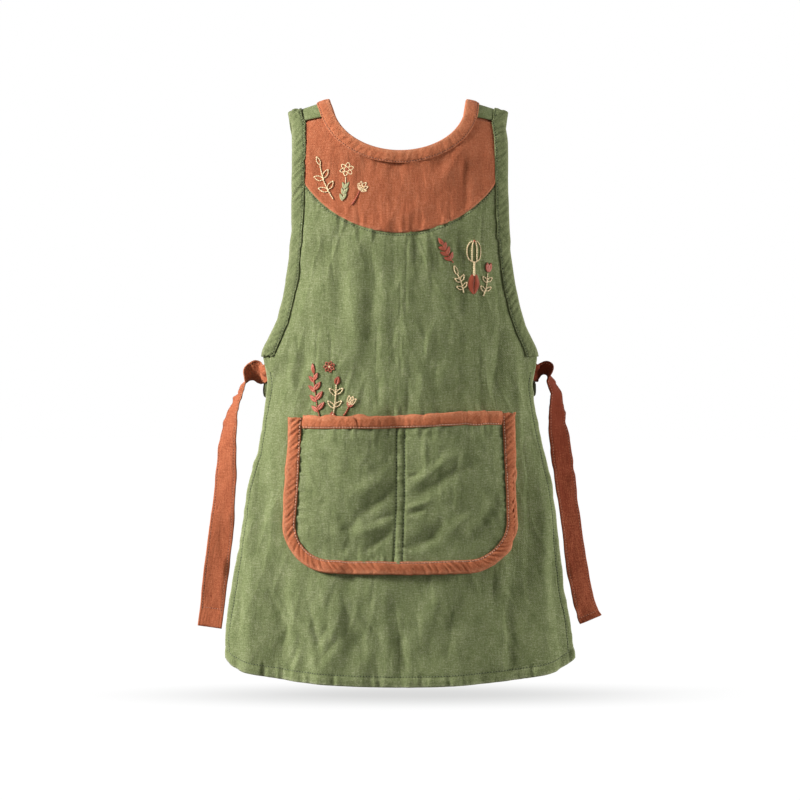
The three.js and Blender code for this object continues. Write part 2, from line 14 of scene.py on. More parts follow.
import bmesh
import bpy
import numpy as np
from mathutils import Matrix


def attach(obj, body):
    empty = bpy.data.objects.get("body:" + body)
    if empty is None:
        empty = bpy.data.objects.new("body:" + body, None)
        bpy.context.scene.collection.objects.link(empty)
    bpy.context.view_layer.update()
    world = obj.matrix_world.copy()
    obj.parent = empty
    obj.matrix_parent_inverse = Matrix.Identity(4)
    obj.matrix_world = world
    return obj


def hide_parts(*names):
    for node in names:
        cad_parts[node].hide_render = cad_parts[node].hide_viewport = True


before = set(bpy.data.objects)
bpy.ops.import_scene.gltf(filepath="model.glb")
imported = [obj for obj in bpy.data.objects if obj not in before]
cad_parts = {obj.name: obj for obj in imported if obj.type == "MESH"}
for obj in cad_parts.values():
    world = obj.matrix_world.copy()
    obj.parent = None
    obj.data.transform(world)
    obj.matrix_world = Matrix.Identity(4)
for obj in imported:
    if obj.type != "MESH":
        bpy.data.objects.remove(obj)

log = logging.getLogger("gardening_apron")
Array = np.ndarray
Edge = Callable[[Array], tuple[Array, Array]]
MM = 0.001
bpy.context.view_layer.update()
SEAM_TUCK = 1.6
LATTICE = 64
FINE_STATIONS = 6001


class Slot(Enum):
    """Material slots of the record."""

    GREEN = "green_linen"
    GREEN_TRIM = "green_binding"
    RUST = "rust_linen"
    RUST_TRIM = "rust_binding"


class Side(Enum):
    """The viewer's left and right."""

    LEFT = -1
    RIGHT = 1

    @property
    def word(self) -> str:
        """The side's name as pieces carry it."""
        return self.name.lower()


def unit(vectors: Array) -> Array:
    """Vectors of length one, along the last axis."""
    return vectors / np.maximum(np.linalg.norm(vectors, axis=-1, keepdims=True), 1e-12)


def dot(one: Array, other: Array) -> Array:
    """Dot products along the last axis."""
    return np.sum(one * other, axis=-1)


def lerp(start: Array, end: Array, share: Array) -> Array:
    """The value that lies a share of the way from start to end."""
    return start + (end - start) * share


def smoothstep(value: Array, low: float, high: float) -> Array:
    """A soft step from 0 at low to 1 at high."""
    share = np.clip((value - low) / (high - low), 0, 1)
    return share * share * (3 - 2 * share)


def bell(distance: Array, spread: float) -> Array:
    """A soft bump, 1 at no distance."""
    return np.exp(-((distance / spread) ** 2))


class Rows:
    """A short table with named columns, read along a curve between its rows."""

    def __init__(self, columns: str, rows: Sequence[Sequence[float]]) -> None:
        """Keep the table.

        Args:
            columns: The columns' names, parted by spaces.
            rows: One sequence of numbers a row.
        """
        self.columns = dict(zip(columns.split(), np.array(rows, float).T))

    def __getitem__(self, column: str) -> Array:
        """One column as it stands."""
        return self.columns[column]

    def each(self) -> Iterable[dict[str, float]]:
        """The rows, one dictionary each."""
        for values in zip(*self.columns.values()):
            yield dict(zip(self.columns, map(float, values)))

    def read(self, column: str, at: Array) -> Array:
        """Read a column at any values of `at`, without swinging past the rows' own.

        Args:
            column: The column's name.
            at: Where to read it.

        Returns:
            The values there, on a straight line beyond the ends.
        """
        place, value = self.columns["at"], self.columns[column]
        at = np.asarray(at, float)
        rise = np.diff(value) / np.diff(place)
        before, after = np.append(rise[:1], rise), np.append(rise, rise[-1:])
        total = np.where(before + after == 0, 1, before + after)
        slope = np.where(before * after > 0, 2 * before * after / total, 0)
        first = np.clip(np.searchsorted(place, at, side="right") - 1, 0, len(place) - 2)
        span = place[first + 1] - place[first]
        share = np.clip((at - place[first]) / span, 0, 1)
        square, cube = share**2, share**3
        inside = (
            (2 * cube - 3 * square + 1) * value[first]
            + (cube - 2 * square + share) * span * slope[first]
            + (3 * square - 2 * cube) * value[first + 1]
            + (cube - square) * span * slope[first + 1]
        )
        low = np.minimum(at - place[0], 0) * rise[0]
        high = np.maximum(at - place[-1], 0) * rise[-1]
        return inside + low + high


def creased(creases: Rows, x: Array, z: Array, taper: float = 0.7) -> Array:
    """How far creases push cloth out, seen from before it.

    Args:
        creases: Their runs from x, z to x2, z2, half widths, stands and, but for soft ones, keenness.
        x: Distances from the middle.
        z: Heights.
        taper: 1 where they fade evenly towards their ends, less where they end shortly.

    Returns:
        One distance for each pair.
    """
    total = np.zeros(np.broadcast(x, z).shape)
    for row in creases.each():
        run = np.array([row["x2"] - row["x"], row["z2"] - row["z"]])
        size = float(np.hypot(*run))
        run = run / size
        gone = np.clip(((x - row["x"]) * run[0] + (z - row["z"]) * run[1]) / size, 0, 1)
        off = (x - row["x"]) * run[1] - (z - row["z"]) * run[0]
        across = np.exp(-(np.abs(off / row["wide"]) ** row.get("keen", 2)))
        total += row["stand"] * np.sin(math.pi * gone) ** taper * across
    return total


class SmoothNoise:
    """Seeded soft noise between -1 and 1 over a plane."""

    def __init__(self, seed: int, wide: float, tall: float) -> None:
        """Draw the lattice.

        Args:
            seed: Seed of its numbers.
            wide: Width of a cell.
            tall: Height of a cell.
        """
        self.lattice = np.random.default_rng(seed).uniform(-1, 1, (LATTICE, LATTICE))
        self.wide, self.tall = wide, tall

    def at(self, x: Array, z: Array) -> Array:
        """The noise at points of the plane."""
        u, v = x / self.wide + 31.4, z / self.tall + 17.3
        column, row = np.floor(u).astype(int), np.floor(v).astype(int)
        right, up = u - column, v - row
        right = right**3 * (right * (6 * right - 15) + 10)
        up = up**3 * (up * (6 * up - 15) + 10)

        def knot(across: int, above: int) -> Array:
            """Lattice values at one corner of each cell."""
            return self.lattice[(row + above) % LATTICE, (column + across) % LATTICE]

        low = lerp(knot(0, 0), knot(1, 0), right)
        high = lerp(knot(0, 1), knot(1, 1), right)
        return lerp(low, high, up)


class Route:
    """A smooth curve through points, spaced by the square root of their distances."""

    def __init__(self, points: Array) -> None:
        """Fit the curve.

        Args:
            points: The points that it passes through.
        """
        ends = 2 * points[:1] - points[1:2], 2 * points[-1:] - points[-2:-1]
        self.knots = np.vstack([ends[0], points, ends[1]])
        self.count = len(points)
        fine = self.at(np.linspace(0, 1, FINE_STATIONS))
        runs = np.linalg.norm(np.diff(fine, axis=0), axis=1)
        self.gone = np.append(0, np.cumsum(runs))
        self.fine = fine
        self.length = float(self.gone[-1])

    def at(self, share: Array) -> Array:
        """Points at shares of the curve's own parameter.

        Args:
            share: 0 at the first point and 1 at the last, the points evenly between.

        Returns:
            One point for each share.
        """
        place = np.clip(share, 0, 1) * (self.count - 1)
        first = np.clip(np.floor(place).astype(int), 0, self.count - 2)
        local = (place - first)[:, None]
        a, b, c, d = (self.knots[first + step] for step in range(4))
        ab, bc, cd = (
            np.maximum(np.sqrt(np.linalg.norm(two - one, axis=1)), 1e-4)[:, None]
            for one, two in ((a, b), (b, c), (c, d))
        )
        leave = ((b - a) / ab - (c - a) / (ab + bc) + (c - b) / bc) * bc
        arrive = ((c - b) / bc - (d - b) / (bc + cd) + (d - c) / cd) * bc
        square, cube = local**2, local**3
        return (
            (2 * cube - 3 * square + 1) * b
            + (cube - 2 * square + local) * leave
            + (3 * square - 2 * cube) * c
            + (cube - square) * arrive
        )

    def along(self, share: Array) -> tuple[Array, Array]:
        """Points and directions at shares of the curve's length."""
        where = np.asarray(share) * self.length
        slopes = np.gradient(self.fine, self.gone, axis=0)
        point = np.stack([np.interp(where, self.gone, axis) for axis in self.fine.T], axis=-1)
        slope = np.stack([np.interp(where, self.gone, axis) for axis in slopes.T], axis=-1)
        return point, unit(slope)


@dataclass(frozen=True)
class ApronForm:
    """The form that the front keeps when worn, which every piece is laid over.

    Attributes:
        length: Shoulder line to the hem, down the middle.
        underarm_drop: Shoulder line to the underarm corners.
        chest_half: Middle to armhole edge across the chest.
        underarm_half: Middle to side edge under the arms.
        hem_half: Middle to side edge at the hem.
        chest_depth: How far the chest stands before the shoulder line.
        hem_depth: The same at the hem.
        hem_rise: How much higher the hem ends at the sides.
        corner_pull: How far the ties draw out the underarm corners.
        shoulder_tuck: How much nearer the middle the right shoulder lies.
        skirt_sway: How far the skirt swings to the left above the hem.
        neck_half: Half width of the neckline's curve at the shoulder line.
        neck_drop: Shoulder line to the lowest point of the neckline.
        neck_rise: How far that curve aims above the shoulder line.
        shoulder_seam_drop: Shoulder line to the shoulder seams at the neckline.
        shoulder_seam_slope: How much lower they end at the armholes.
        yoke_drop: Shoulder line to the lowest point of the yoke's seam.
        yoke_side_drop: Shoulder line to that seam's ends.
        linen: Thickness of one layer.
        seam_gap: Between pieces that are sewn together.
    """

    length: float = 581
    underarm_drop: float = 253
    chest_half: float = 107
    underarm_half: float = 132
    hem_half: float = 176
    chest_depth: float = 76
    hem_depth: float = 91
    hem_rise: float = 27
    corner_pull: float = 5
    shoulder_tuck: float = 4
    skirt_sway: float = 3
    neck_half: float = 70
    neck_drop: float = 48.5
    neck_rise: float = 5
    shoulder_seam_drop: float = 11
    shoulder_seam_slope: float = 8
    yoke_drop: float = 130
    yoke_side_drop: float = 59
    linen: float = 1.2
    seam_gap: float = 0.3

    # Half sections. at: share of the underarm drop. out: 0 at the chest's half width, 1 at the
    # underarm's. forward, back: shares of the chest depth. wrap: angle that they turn through.
    bodice = Rows(
        "at out forward back wrap",
        [
            (0.05, 0.04, 0.66, 0.24, 61.5),
            (0.13, 0.01, 0.655, 0.1, 58.5),
            (0.22, 0, 0.66, 0.01, 56.5),
            (0.37, 0.01, 0.76, 0, 55.7),
            (0.5, 0.04, 0.87, 0, 55.6),
            (0.66, 0.19, 0.92, 0, 58.7),
            (0.76, 0.35, 0.95, 0, 59.5),
            (0.85, 0.57, 0.97, 0, 60),
            (0.925, 0.8, 0.985, 0, 60.5),
            (1, 0.97, 1, 0, 61),
        ],
    )

    # at: share of the skirt's length. out: 0 at the underarm's half width, 1 at the hem's.
    # forward: 0 at the chest depth, 1 at the hem depth.
    skirt = Rows(
        "at out forward wrap",
        [
            (0.08, -0.01, 0.1, 61.5),
            (0.17, 0.1, 0.2, 61.5),
            (0.28, 0.25, 0.3, 61),
            (0.43, 0.47, 0.45, 60.5),
            (0.57, 0.6, 0.55, 60),
            (0.72, 0.78, 0.7, 60),
            (0.86, 0.94, 0.85, 60),
            (1, 1, 1, 60),
        ],
    )

    # Long soft folds. at: share of the half section. spread: half width. start: share of the
    # length where it begins. lean: drift outwards below. swing: share of the hem depth.
    folds = Rows(
        "at spread start lean swing",
        [
            (-0.83, 0.1, 0.52, 0.04, 0.045),
            (-0.58, 0.12, 0.62, -0.02, -0.035),
            (-0.33, 0.12, 0.74, -0.04, 0.035),
            (-0.06, 0.11, 0.78, 0, -0.025),
            (0.18, 0.11, 0.76, 0.02, 0.03),
            (0.45, 0.12, 0.7, 0.04, -0.035),
            (0.68, 0.1, 0.5, 0.05, 0.05),
            (0.88, 0.09, 0.5, 0.02, -0.03),
        ],
    )

    # Creases of the front, seen from before it. x, z to x2, z2: its run. wide: half width.
    # stand: how far it stands out. keen: 2 for a soft fold, less for a sharper one.
    creases = Rows(
        "x z x2 z2 wide stand keen",
        [
            (-46, -126, -40, -268, 10, 1.9, 2),
            (-27, -165, -30, -275, 7, -1.1, 2),
            (27, -128, 28, -178, 2.4, 0.7, 1.6),
            (15, -128, 13, -170, 3, -0.5, 2),
            (58, -126, 57, -156, 3.4, -0.7, 2),
            (72, -126, 75, -160, 4, 0.6, 2),
            (34, -218, 22, -264, 4, 1.0, 1.7),
            (22, -256, 20, -318, 4.5, 0.9, 2),
            (3, -205, -2, -300, 8, 0.7, 2),
            (80, -205, 88, -318, 4, 1.5, 1.7),
            (99, -222, 94, -305, 7, -1.7, 2),
            (111, -222, 121, -345, 5, 1.5, 1.8),
            (-95, -244, -105, -304, 4.5, -1.1, 1.8),
            (-106, -238, -92, -264, 3.4, -0.8, 1.8),
            (-112, -260, -103, -294, 3.4, 0.8, 2),
            (-122, -250, -128, -275, 3.5, 0.9, 2),
            (-146, -350, -150, -470, 6, 1.5, 1.8),
            (-134, -380, -140, -470, 6, -1.1, 2),
            (-130, -486, -109, -526, 4.4, -1.5, 1.6),
            (-111, -520, -122, -552, 4.2, -1.3, 1.7),
            (-119, -500, -98, -540, 5, 1.0, 2),
            (-68, -518, -80, -540, 3.4, -1.0, 1.6),
            (-60, -500, -66, -560, 7, 0.7, 2),
            (-40, -526, -36, -556, 7, -1.2, 2),
            (-11, -470, -8, -583, 7, 1.5, 1.8),
            (3, -520, 4, -583, 6, -1.2, 2),
            (72, -476, 28, -566, 13, -1.7, 2),
            (54, -470, 14, -548, 9, 1.0, 2),
            (-42, -522.5, 66, -521, 1.6, -0.4, 1.5),
            (90, -480, 100, -570, 7, 0.9, 2),
            (112, -478, 114, -575, 6, -1.0, 2),
            (127, -470, 126, -578, 5.5, 1.1, 1.8),
            (140, -360, 147, -540, 6, 1.7, 1.8),
            (153, -370, 157, -520, 5, -1.2, 2),
            (-164, -500, -160, -560, 6, 0.9, 2),
            (114, -320, 128, -600, 17, -2.6, 2),
            (-123, -485, -100, -530, 3.5, -1.4, 1.8),
            (-112, -484, -90, -528, 4, 0.9, 1.8),
            (-88, -495, -77, -552, 3.5, -1.3, 1.8),
            (-57, -528, -80, -560, 3.5, -1.3, 1.8),
            (-38, -508, -16, -534, 3, -1.1, 1.8),
            (-100, -540, -112, -566, 4, -1.0, 1.8),
            (146, -330, 160, -600, 15, 3, 2),
        ],
    )
    streaks = SmoothNoise(7, 11, 120)
    crumple = SmoothNoise(23, 17, 24)
    rumple = SmoothNoise(41, 8, 12)
    ridges = SmoothNoise(47, 15, 46)

    def half_sections(self, z: Array) -> tuple[Array, Array, Array, Array]:
        """Half width, forward depth, back shift and wrap angle at heights."""
        down = -np.asarray(z, float)
        bodice, skirt = self.bodice, self.skirt
        span = self.length - self.underarm_drop
        joined = Rows(
            "at half forward back wrap",
            [
                (
                    row["at"] * self.underarm_drop,
                    lerp(self.chest_half, self.underarm_half, row["out"]),
                    row["forward"] * self.chest_depth,
                    row["back"] * self.chest_depth,
                    math.radians(row["wrap"]),
                )
                for row in bodice.each()
            ]
            + [
                (
                    self.underarm_drop + row["at"] * span,
                    lerp(self.underarm_half, self.hem_half, row["out"]),
                    lerp(self.chest_depth, self.hem_depth, row["forward"]),
                    0,
                    math.radians(row["wrap"]),
                )
                for row in skirt.each()
            ],
        )
        return tuple(joined.read(name, down) for name in ("half", "forward", "back", "wrap"))

    def relief(self, x: Array, z: Array) -> Array:
        """How far creases and crumpling push the cloth out, seen from before it."""
        soft = self.streaks.at(x, z) + 0.85 * self.crumple.at(x, z)
        soft = soft + 0.3 * self.rumple.at(x + 0.3 * z, z)
        lean = x + 0.35 * z * np.sign(x)
        raised, sunk = (1 - np.abs(self.ridges.at(place, z)) for place in (lean, x + 400))
        sharp = raised**4 - sunk**4
        behind = smoothstep(-np.abs(x), -114, -100) * smoothstep(-z, 309, 324)
        calm = (1 - smoothstep(z, -60, -25)) * (1 - 0.8 * behind * smoothstep(z, -470, -452))
        yoke_calm = lerp(0.5, 1, smoothstep(-z, 100, 150))
        return (1.7 * creased(self.creases, x, z) + (soft + 0.75 * sharp) * yoke_calm) * calm

    def point(self, share: Array, z: Array) -> Array:
        """Points of the outer face.

        Args:
            share: -1 at the left edge to 1 at the right.
            z: Heights under the shoulder line, negative.

        Returns:
            Points, one for each pair.
        """
        share, z = np.broadcast_arrays(np.asarray(share, float), np.asarray(z, float))
        half, forward, back, wrap = self.half_sections(z)
        reach = half / np.sin(np.minimum(wrap, math.pi / 2))
        angle = share * wrap
        fold = np.zeros(share.shape)
        for row in self.folds.each():
            below = smoothstep(-z / self.length, row["start"], 1)
            drift = row["at"] + row["lean"] * below
            fold = fold + row["swing"] * self.hem_depth * below * bell(share - drift, row["spread"])
        fold = fold + self.relief(reach * np.sin(angle), z)
        pull = self.corner_pull * bell(z + self.underarm_drop, 0.09 * self.underarm_drop)
        high = smoothstep(z, -0.16 * self.underarm_drop, -self.shoulder_seam_drop)
        tuck = self.shoulder_tuck * high * np.maximum(share, 0) ** 2
        skirt = self.length - self.underarm_drop
        sway = self.skirt_sway * bell(z + self.underarm_drop + 0.7 * skirt, 0.2 * skirt)
        pulled = np.sign(share) * pull * np.abs(share) ** 8
        x = (reach + fold) * np.sin(angle) + pulled - tuck - sway
        return np.stack([x, back - (forward + fold) * np.cos(angle), z], axis=-1)

    def frame(self, share: Array, z: Array) -> tuple[Array, Array, Array]:
        """Directions across, up and out of the outer face."""
        across = (self.point(share + 0.01, z) - self.point(share - 0.01, z)) / 0.02
        up = (self.point(share, z + 1) - self.point(share, z - 1)) / 2
        return across, up, unit(np.cross(across, up))

    def cloth(self, share: Array, z: Array, out: Array) -> Array:
        """Points moved out of the face by a distance."""
        lifted = self.frame(share, z)[2] * np.asarray(out, float)[..., None]
        return self.point(share, z) + lifted

    def share_at(self, x: Array, z: Array) -> Array:
        """The share of the half section at which the apron is x wide."""
        half, _, _, wrap = self.half_sections(z)
        reach = half / np.sin(np.minimum(wrap, math.pi / 2))
        return np.arcsin(np.clip(x / reach, -1, 1)) / wrap

    def beside(self, edge: Edge, t: Array, inside: int, distance: Array, out: Array) -> Array:
        """Points beside an edge drawn on the apron.

        Args:
            edge: Gives shares and heights along the edge.
            t: Where on the edge.
            inside: The hand on which the cloth lies.
            distance: How far inwards over the cloth.
            out: How far out of it.

        Returns:
            One point for each t.
        """
        share, z = edge(t)
        along = unit(self.point(*edge(t + 0.004)) - self.point(*edge(t - 0.004)))
        across, up, out_of = self.frame(share, z)
        inwards = np.cross(out_of, along) * inside
        mixed = dot(across, up)
        wide, tall = dot(across, across), dot(up, up)
        area = wide * tall - mixed**2
        sideways, upwards = dot(inwards, across), dot(inwards, up)
        share_step = (sideways * tall - upwards * mixed) / area
        height_step = (upwards * wide - sideways * mixed) / area
        return self.cloth(share + distance * share_step, z + distance * height_step, out)

    @property
    def shoulder_seam_end(self) -> float:
        """Drop at which the shoulder seams end at the armholes."""
        return self.shoulder_seam_drop + self.shoulder_seam_slope

    def neck_edge(self, t: Array) -> tuple[Array, Array]:
        """The neckline, from -1 at the left shoulder seam to 1 at the right."""
        rise = self.neck_rise + self.neck_drop
        angle = np.asarray(t, float) * math.acos((self.neck_rise + self.shoulder_seam_drop) / rise)
        z = self.neck_rise - rise * np.cos(angle)
        return self.share_at(self.neck_half * np.sin(angle), z), z

    def armhole_edge(self, side: Side) -> Edge:
        """A side edge of the bodice, by its drop from the shoulder line."""
        return lambda drop: (np.full(np.shape(drop), float(side.value)), -np.asarray(drop, float))

    def yoke_seam(self, share: Array) -> Array:
        """Heights of the curved seam under the yoke."""
        sag = self.yoke_drop - self.yoke_side_drop
        radius = (self.chest_half**2 + sag**2) / (2 * sag)
        z = np.full(np.shape(share), -self.yoke_drop, float)
        for _ in range(8):
            x = self.point(share, z)[..., 0]
            z = -self.yoke_drop + radius - np.sqrt(np.maximum(radius**2 - x**2, 0))
        return z

    def hem_line(self, share: Array) -> Array:
        """Heights of the hem's edge."""
        return -self.length + self.hem_rise * (0.72 * share**2 + 0.28 * share**12)


def spaced(start: float, end: float, step: float) -> Array:
    """Even stations from start to end, about a step apart."""
    return np.linspace(start, end, max(2, round(abs(end - start) / step) + 1))


def grid_mesh(name: str, across: int, down: int) -> tuple[bpy.types.Mesh, Array, Array]:
    """A mesh of one flat grid of quads.

    Args:
        name: The mesh's name.
        across: Number of columns of vertices.
        down: Number of rows of vertices.

    Returns:
        The mesh, and each vertex's column and row.
    """
    grid = bmesh.new()
    bmesh.ops.create_grid(grid, x_segments=across - 1, y_segments=down - 1, size=1)
    mesh = bpy.data.meshes.new(name)
    grid.to_mesh(mesh)
    grid.free()
    places = np.empty(len(mesh.vertices) * 3)
    mesh.vertices.foreach_get("co", places)
    places = (places.reshape(-1, 3) + 1) / 2
    column = np.rint(places[:, 0] * (across - 1)).astype(int)
    row = np.rint(places[:, 1] * (down - 1)).astype(int)
    return mesh, column, row


def put_attribute(mesh: bpy.types.Mesh, name: str, values: Array) -> None:
    """Store one number or one vector for each vertex."""
    kind, key = ("FLOAT_VECTOR", "vector") if values.ndim == 2 else ("FLOAT", "value")
    store = mesh.attributes.new(name, kind, "POINT")
    store.data.foreach_set(key, np.ascontiguousarray(values, dtype=np.float32).ravel())


@dataclass
class Sheet:
    """A patch of cloth: a grid laid over a form and given its thickness.

    Attributes:
        name: The piece's name.
        columns: Stations across, from one side to the other.
        rows: Stations down or along.
        place: Gives points for columns, rows and a distance out of the face.
        thickness: Thickness of the cloth.
        centred: True where the cloth lies on both sides of the face.
        bias: True where the weave runs across at 45 degrees.
        upright: True where the weave hangs plumb and not along the rows.
        thick: Shares of the thickness, for columns and rows.
        wear: Shares by which the cloth is paler, for worn places and painted highlights, and darker where
            negative, for painted shade and darker cloth; for columns and rows.
    """

    name: str
    columns: Array
    rows: Array
    place: Callable[[Array, Array, Array], Array]
    thickness: float = 1.2
    centred: bool = False
    bias: bool = False
    upright: bool = False
    thick: Callable[[Array, Array], Array] | None = None
    wear: Callable[[Array, Array], Array] | None = None

    def flat(self, points: Array) -> Array:
        """Flat coordinates of the cloth at the grid's points, in metres.

        Args:
            points: The grid's points, rows first.

        Returns:
            Two lengths and a zero for each point.
        """
        steps = np.diff(points, axis=1)
        if self.upright:
            steps = steps[..., :2]
        runs = np.linalg.norm(steps, axis=-1)
        across = np.concatenate([np.zeros((len(points), 1)), np.cumsum(runs, axis=1)], axis=1)
        middle = points.shape[1] // 2
        across = across - across[:, middle : middle + 1]
        if self.upright:
            down = points[..., 2]
        else:
            line = points[:, middle]
            gone = np.linalg.norm(np.diff(line, axis=0), axis=1)
            down = np.append(0, np.cumsum(gone))[:, None] + np.zeros_like(across)
        if self.bias:
            across, down = (across + down) * math.sqrt(0.5), (across - down) * math.sqrt(0.5)
        return np.stack([across, down, np.zeros_like(across)], axis=-1) * MM

    def build(self) -> bpy.types.Object:
        """Make the piece.

        Returns:
            The new object, its outer face pointing out.
        """
        mesh, column, row = grid_mesh(self.name, len(self.columns), len(self.rows))
        u, v = self.columns[column], self.rows[row]
        points = self.place(u, v, np.zeros(len(u)))
        lifted = self.place(u, v, np.ones(len(u)))
        mesh.vertices.foreach_set("co", (points * MM).ravel())
        laid = np.zeros((len(self.rows), len(self.columns), 3))
        laid[row, column] = points
        put_attribute(mesh, "flat", self.flat(laid)[row, column])
        wear = self.wear(u, v) if self.wear else np.zeros(len(u))
        put_attribute(mesh, "wear", wear)
        mesh.update()
        normals = np.empty(len(u) * 3)
        mesh.vertex_normals.foreach_get("vector", normals)
        if np.sum(normals.reshape(-1, 3) * (lifted - points)) < 0:
            mesh.flip_normals()
        mesh.polygons.foreach_set("use_smooth", np.ones(len(mesh.polygons), bool))
        piece = bpy.data.objects.new(self.name, mesh)
        bpy.context.scene.collection.objects.link(piece)
        wall = piece.modifiers.new("thickness", "SOLIDIFY")
        wall.thickness = self.thickness * MM
        wall.offset = 0 if self.centred else -1
        if self.thick:
            shares = np.round(self.thick(u, v), 2)
            group = piece.vertex_groups.new(name="thick")
            for share in np.unique(shares):
                group.add(np.flatnonzero(shares == share).tolist(), float(share), "REPLACE")
            wall.vertex_group = "thick"
        return piece


def stitch_template() -> tuple[Array, Array]:
    """One plump stitch of length and width one, along x.

    Returns:
        Its vertices, and its faces as rows of indices, -1 where a face has only three.
    """
    bead = bmesh.new()
    bmesh.ops.create_uvsphere(bead, u_segments=6, v_segments=4, radius=0.5)
    bmesh.ops.triangulate(bead, faces=bead.faces)
    turned = np.array([(v.co.z, v.co.y, -v.co.x) for v in bead.verts])
    faces = np.array([[v.index for v in face.verts] for face in bead.faces])
    bead.free()
    return turned, faces


@dataclass(frozen=True)
class Seam:
    """How a seam is sewn.

    Attributes:
        pitch: From one stitch to the next.
        share: How much of that a stitch covers.
        width: Width of the thread.
    """

    pitch: float
    share: float
    width: float


EDGE_SEAM = Seam(2.9, 0.64, 0.95)
DIVIDER_SEAM = Seam(3.4, 0.6, 1.15)
TIE_SEAM = Seam(2.8, 0.64, 0.85)


@dataclass
class Thread:
    """Stitches of one colour, gathered first and made one mesh at the end.

    Attributes:
        name: The piece's name.
        finish: The thread's material.
    """

    name: str
    finish: bpy.types.Material
    runs: list[tuple[Array, Array, Array, float, float]] = field(default_factory=list)

    def add(self, starts: Array, ends: Array, out: Array, width: float, painted_shade: float = 0) -> None:
        """Add stitches.

        Args:
            starts: Where each begins.
            ends: Where each ends.
            out: The cloth's outward direction at each.
            width: Width of the thread.
            painted_shade: 1 for beads that paint the shade in the needle's holes between stitches.
        """
        self.runs.append((starts, ends, out, width, painted_shade))

    def follow(self, line: Array, out: Array, seam: Seam) -> None:
        """Sew along a line.

        Args:
            line: Points of the line.
            out: Outward directions at them.
            seam: How it is sewn.
        """
        pitch, share, width = seam.pitch, seam.share, seam.width
        gone = np.append(0, np.cumsum(np.linalg.norm(np.diff(line, axis=0), axis=1)))
        first = np.arange(pitch * 0.3, gone[-1] - pitch, pitch)

        def read(values: Array, where: Array) -> Array:
            """Values at lengths along the line."""
            return np.stack([np.interp(where, gone, axis) for axis in values.T], axis=-1)

        starts, ends = read(line, first), read(line, first + pitch * share)
        up = unit(read(out, first))
        self.add(starts, ends, up, width)
        # Painted shade: sunk beads between stitches, shaded fully by the finish, stand in for the
        # needle's holes.
        gap = pitch * (1 - share) / 2
        hole = read(line, first - gap) - 0.22 * width * up
        step = unit(ends - starts) * 0.28 * pitch * (1 - share)
        self.add(hole - step, hole + step, up, 1.4 * width, 1)

    def build(self, slot: Slot) -> bpy.types.Object:
        """Make one mesh of all stitches.

        Args:
            slot: Not used.

        Returns:
            The new object, riding on the root body.
        """
        verts, faces = stitch_template()
        starts, ends, out = (np.vstack([run[part] for run in self.runs]) for part in range(3))
        width, painted_shade = (
            np.concatenate([np.full(len(run[0]), run[part]) for run in self.runs]) for part in (3, 4)
        )
        along = ends - starts
        size = np.linalg.norm(along, axis=1)
        side = unit(np.cross(out, along))
        top = unit(np.cross(along, side))
        places = (
            ((starts + ends) / 2)[:, None, :]
            + verts[None, :, 0:1] * (unit(along) * (size + 0.35 * width)[:, None])[:, None, :]
            + verts[None, :, 1:2] * (side * width[:, None])[:, None, :]
            + verts[None, :, 2:3] * (top * 0.8 * width[:, None])[:, None, :]
        )
        count = len(starts)
        corners = (faces[None] + (np.arange(count) * len(verts))[:, None, None]).reshape(-1, 3)
        mesh = bpy.data.meshes.new(self.name)
        mesh.vertices.add(count * len(verts))
        mesh.vertices.foreach_set("co", (places * MM).ravel())
        mesh.loops.add(corners.size)
        mesh.loops.foreach_set("vertex_index", corners.ravel())
        mesh.polygons.add(len(corners))
        mesh.polygons.foreach_set("loop_start", np.arange(0, corners.size, 3))
        mesh.polygons.foreach_set("use_smooth", np.ones(len(corners), bool))
        mesh.update(calc_edges=True)
        # strand: place along each stitch, plus 1 on the hole beads, from which the finish paints shade.
        put_attribute(mesh, "strand", (verts[None, :, 0] + painted_shade[:, None]).ravel())
        mesh.materials.append(self.finish)
        piece = bpy.data.objects.new(self.name, mesh)
        bpy.context.scene.collection.objects.link(piece)
        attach(piece, "root")
        return piece


class Shade:
    """A number in a material, on which arithmetic adds Math nodes."""

    def __init__(self, graph: "Graph", socket: bpy.types.NodeSocket) -> None:
        """Wrap a socket.

        Args:
            graph: The material's graph.
            socket: The output that gives the number.
        """
        self.graph, self.socket = graph, socket

    def maths(self, operation: str, one: "Shade | float", other: "Shade | float" = 0) -> "Shade":
        """The result of one Math node."""
        node = self.graph.node("ShaderNodeMath", {"operation": operation}, {0: one, 1: other})
        return Shade(self.graph, node.outputs[0])

    def __add__(self, other: "Shade | float") -> "Shade":
        """Sum."""
        return self.maths("ADD", self, other)

    def __sub__(self, other: "Shade | float") -> "Shade":
        """Difference."""
        return self.maths("SUBTRACT", self, other)

    def __mul__(self, other: "Shade | float") -> "Shade":
        """Product."""
        return self.maths("MULTIPLY", self, other)

    def __pow__(self, other: float) -> "Shade":
        """Power."""
        return self.maths("POWER", self, other)

    def __rpow__(self, other: float) -> "Shade":
        """A number's power."""
        return self.maths("POWER", other, self)

    def sine(self) -> "Shade":
        """Sine."""
        return self.maths("SINE", self)

    def clamped(self) -> "Shade":
        """The number kept between 0 and 1."""
        return self.maths("MAXIMUM", self.maths("MINIMUM", self, 1.0), 0.0)


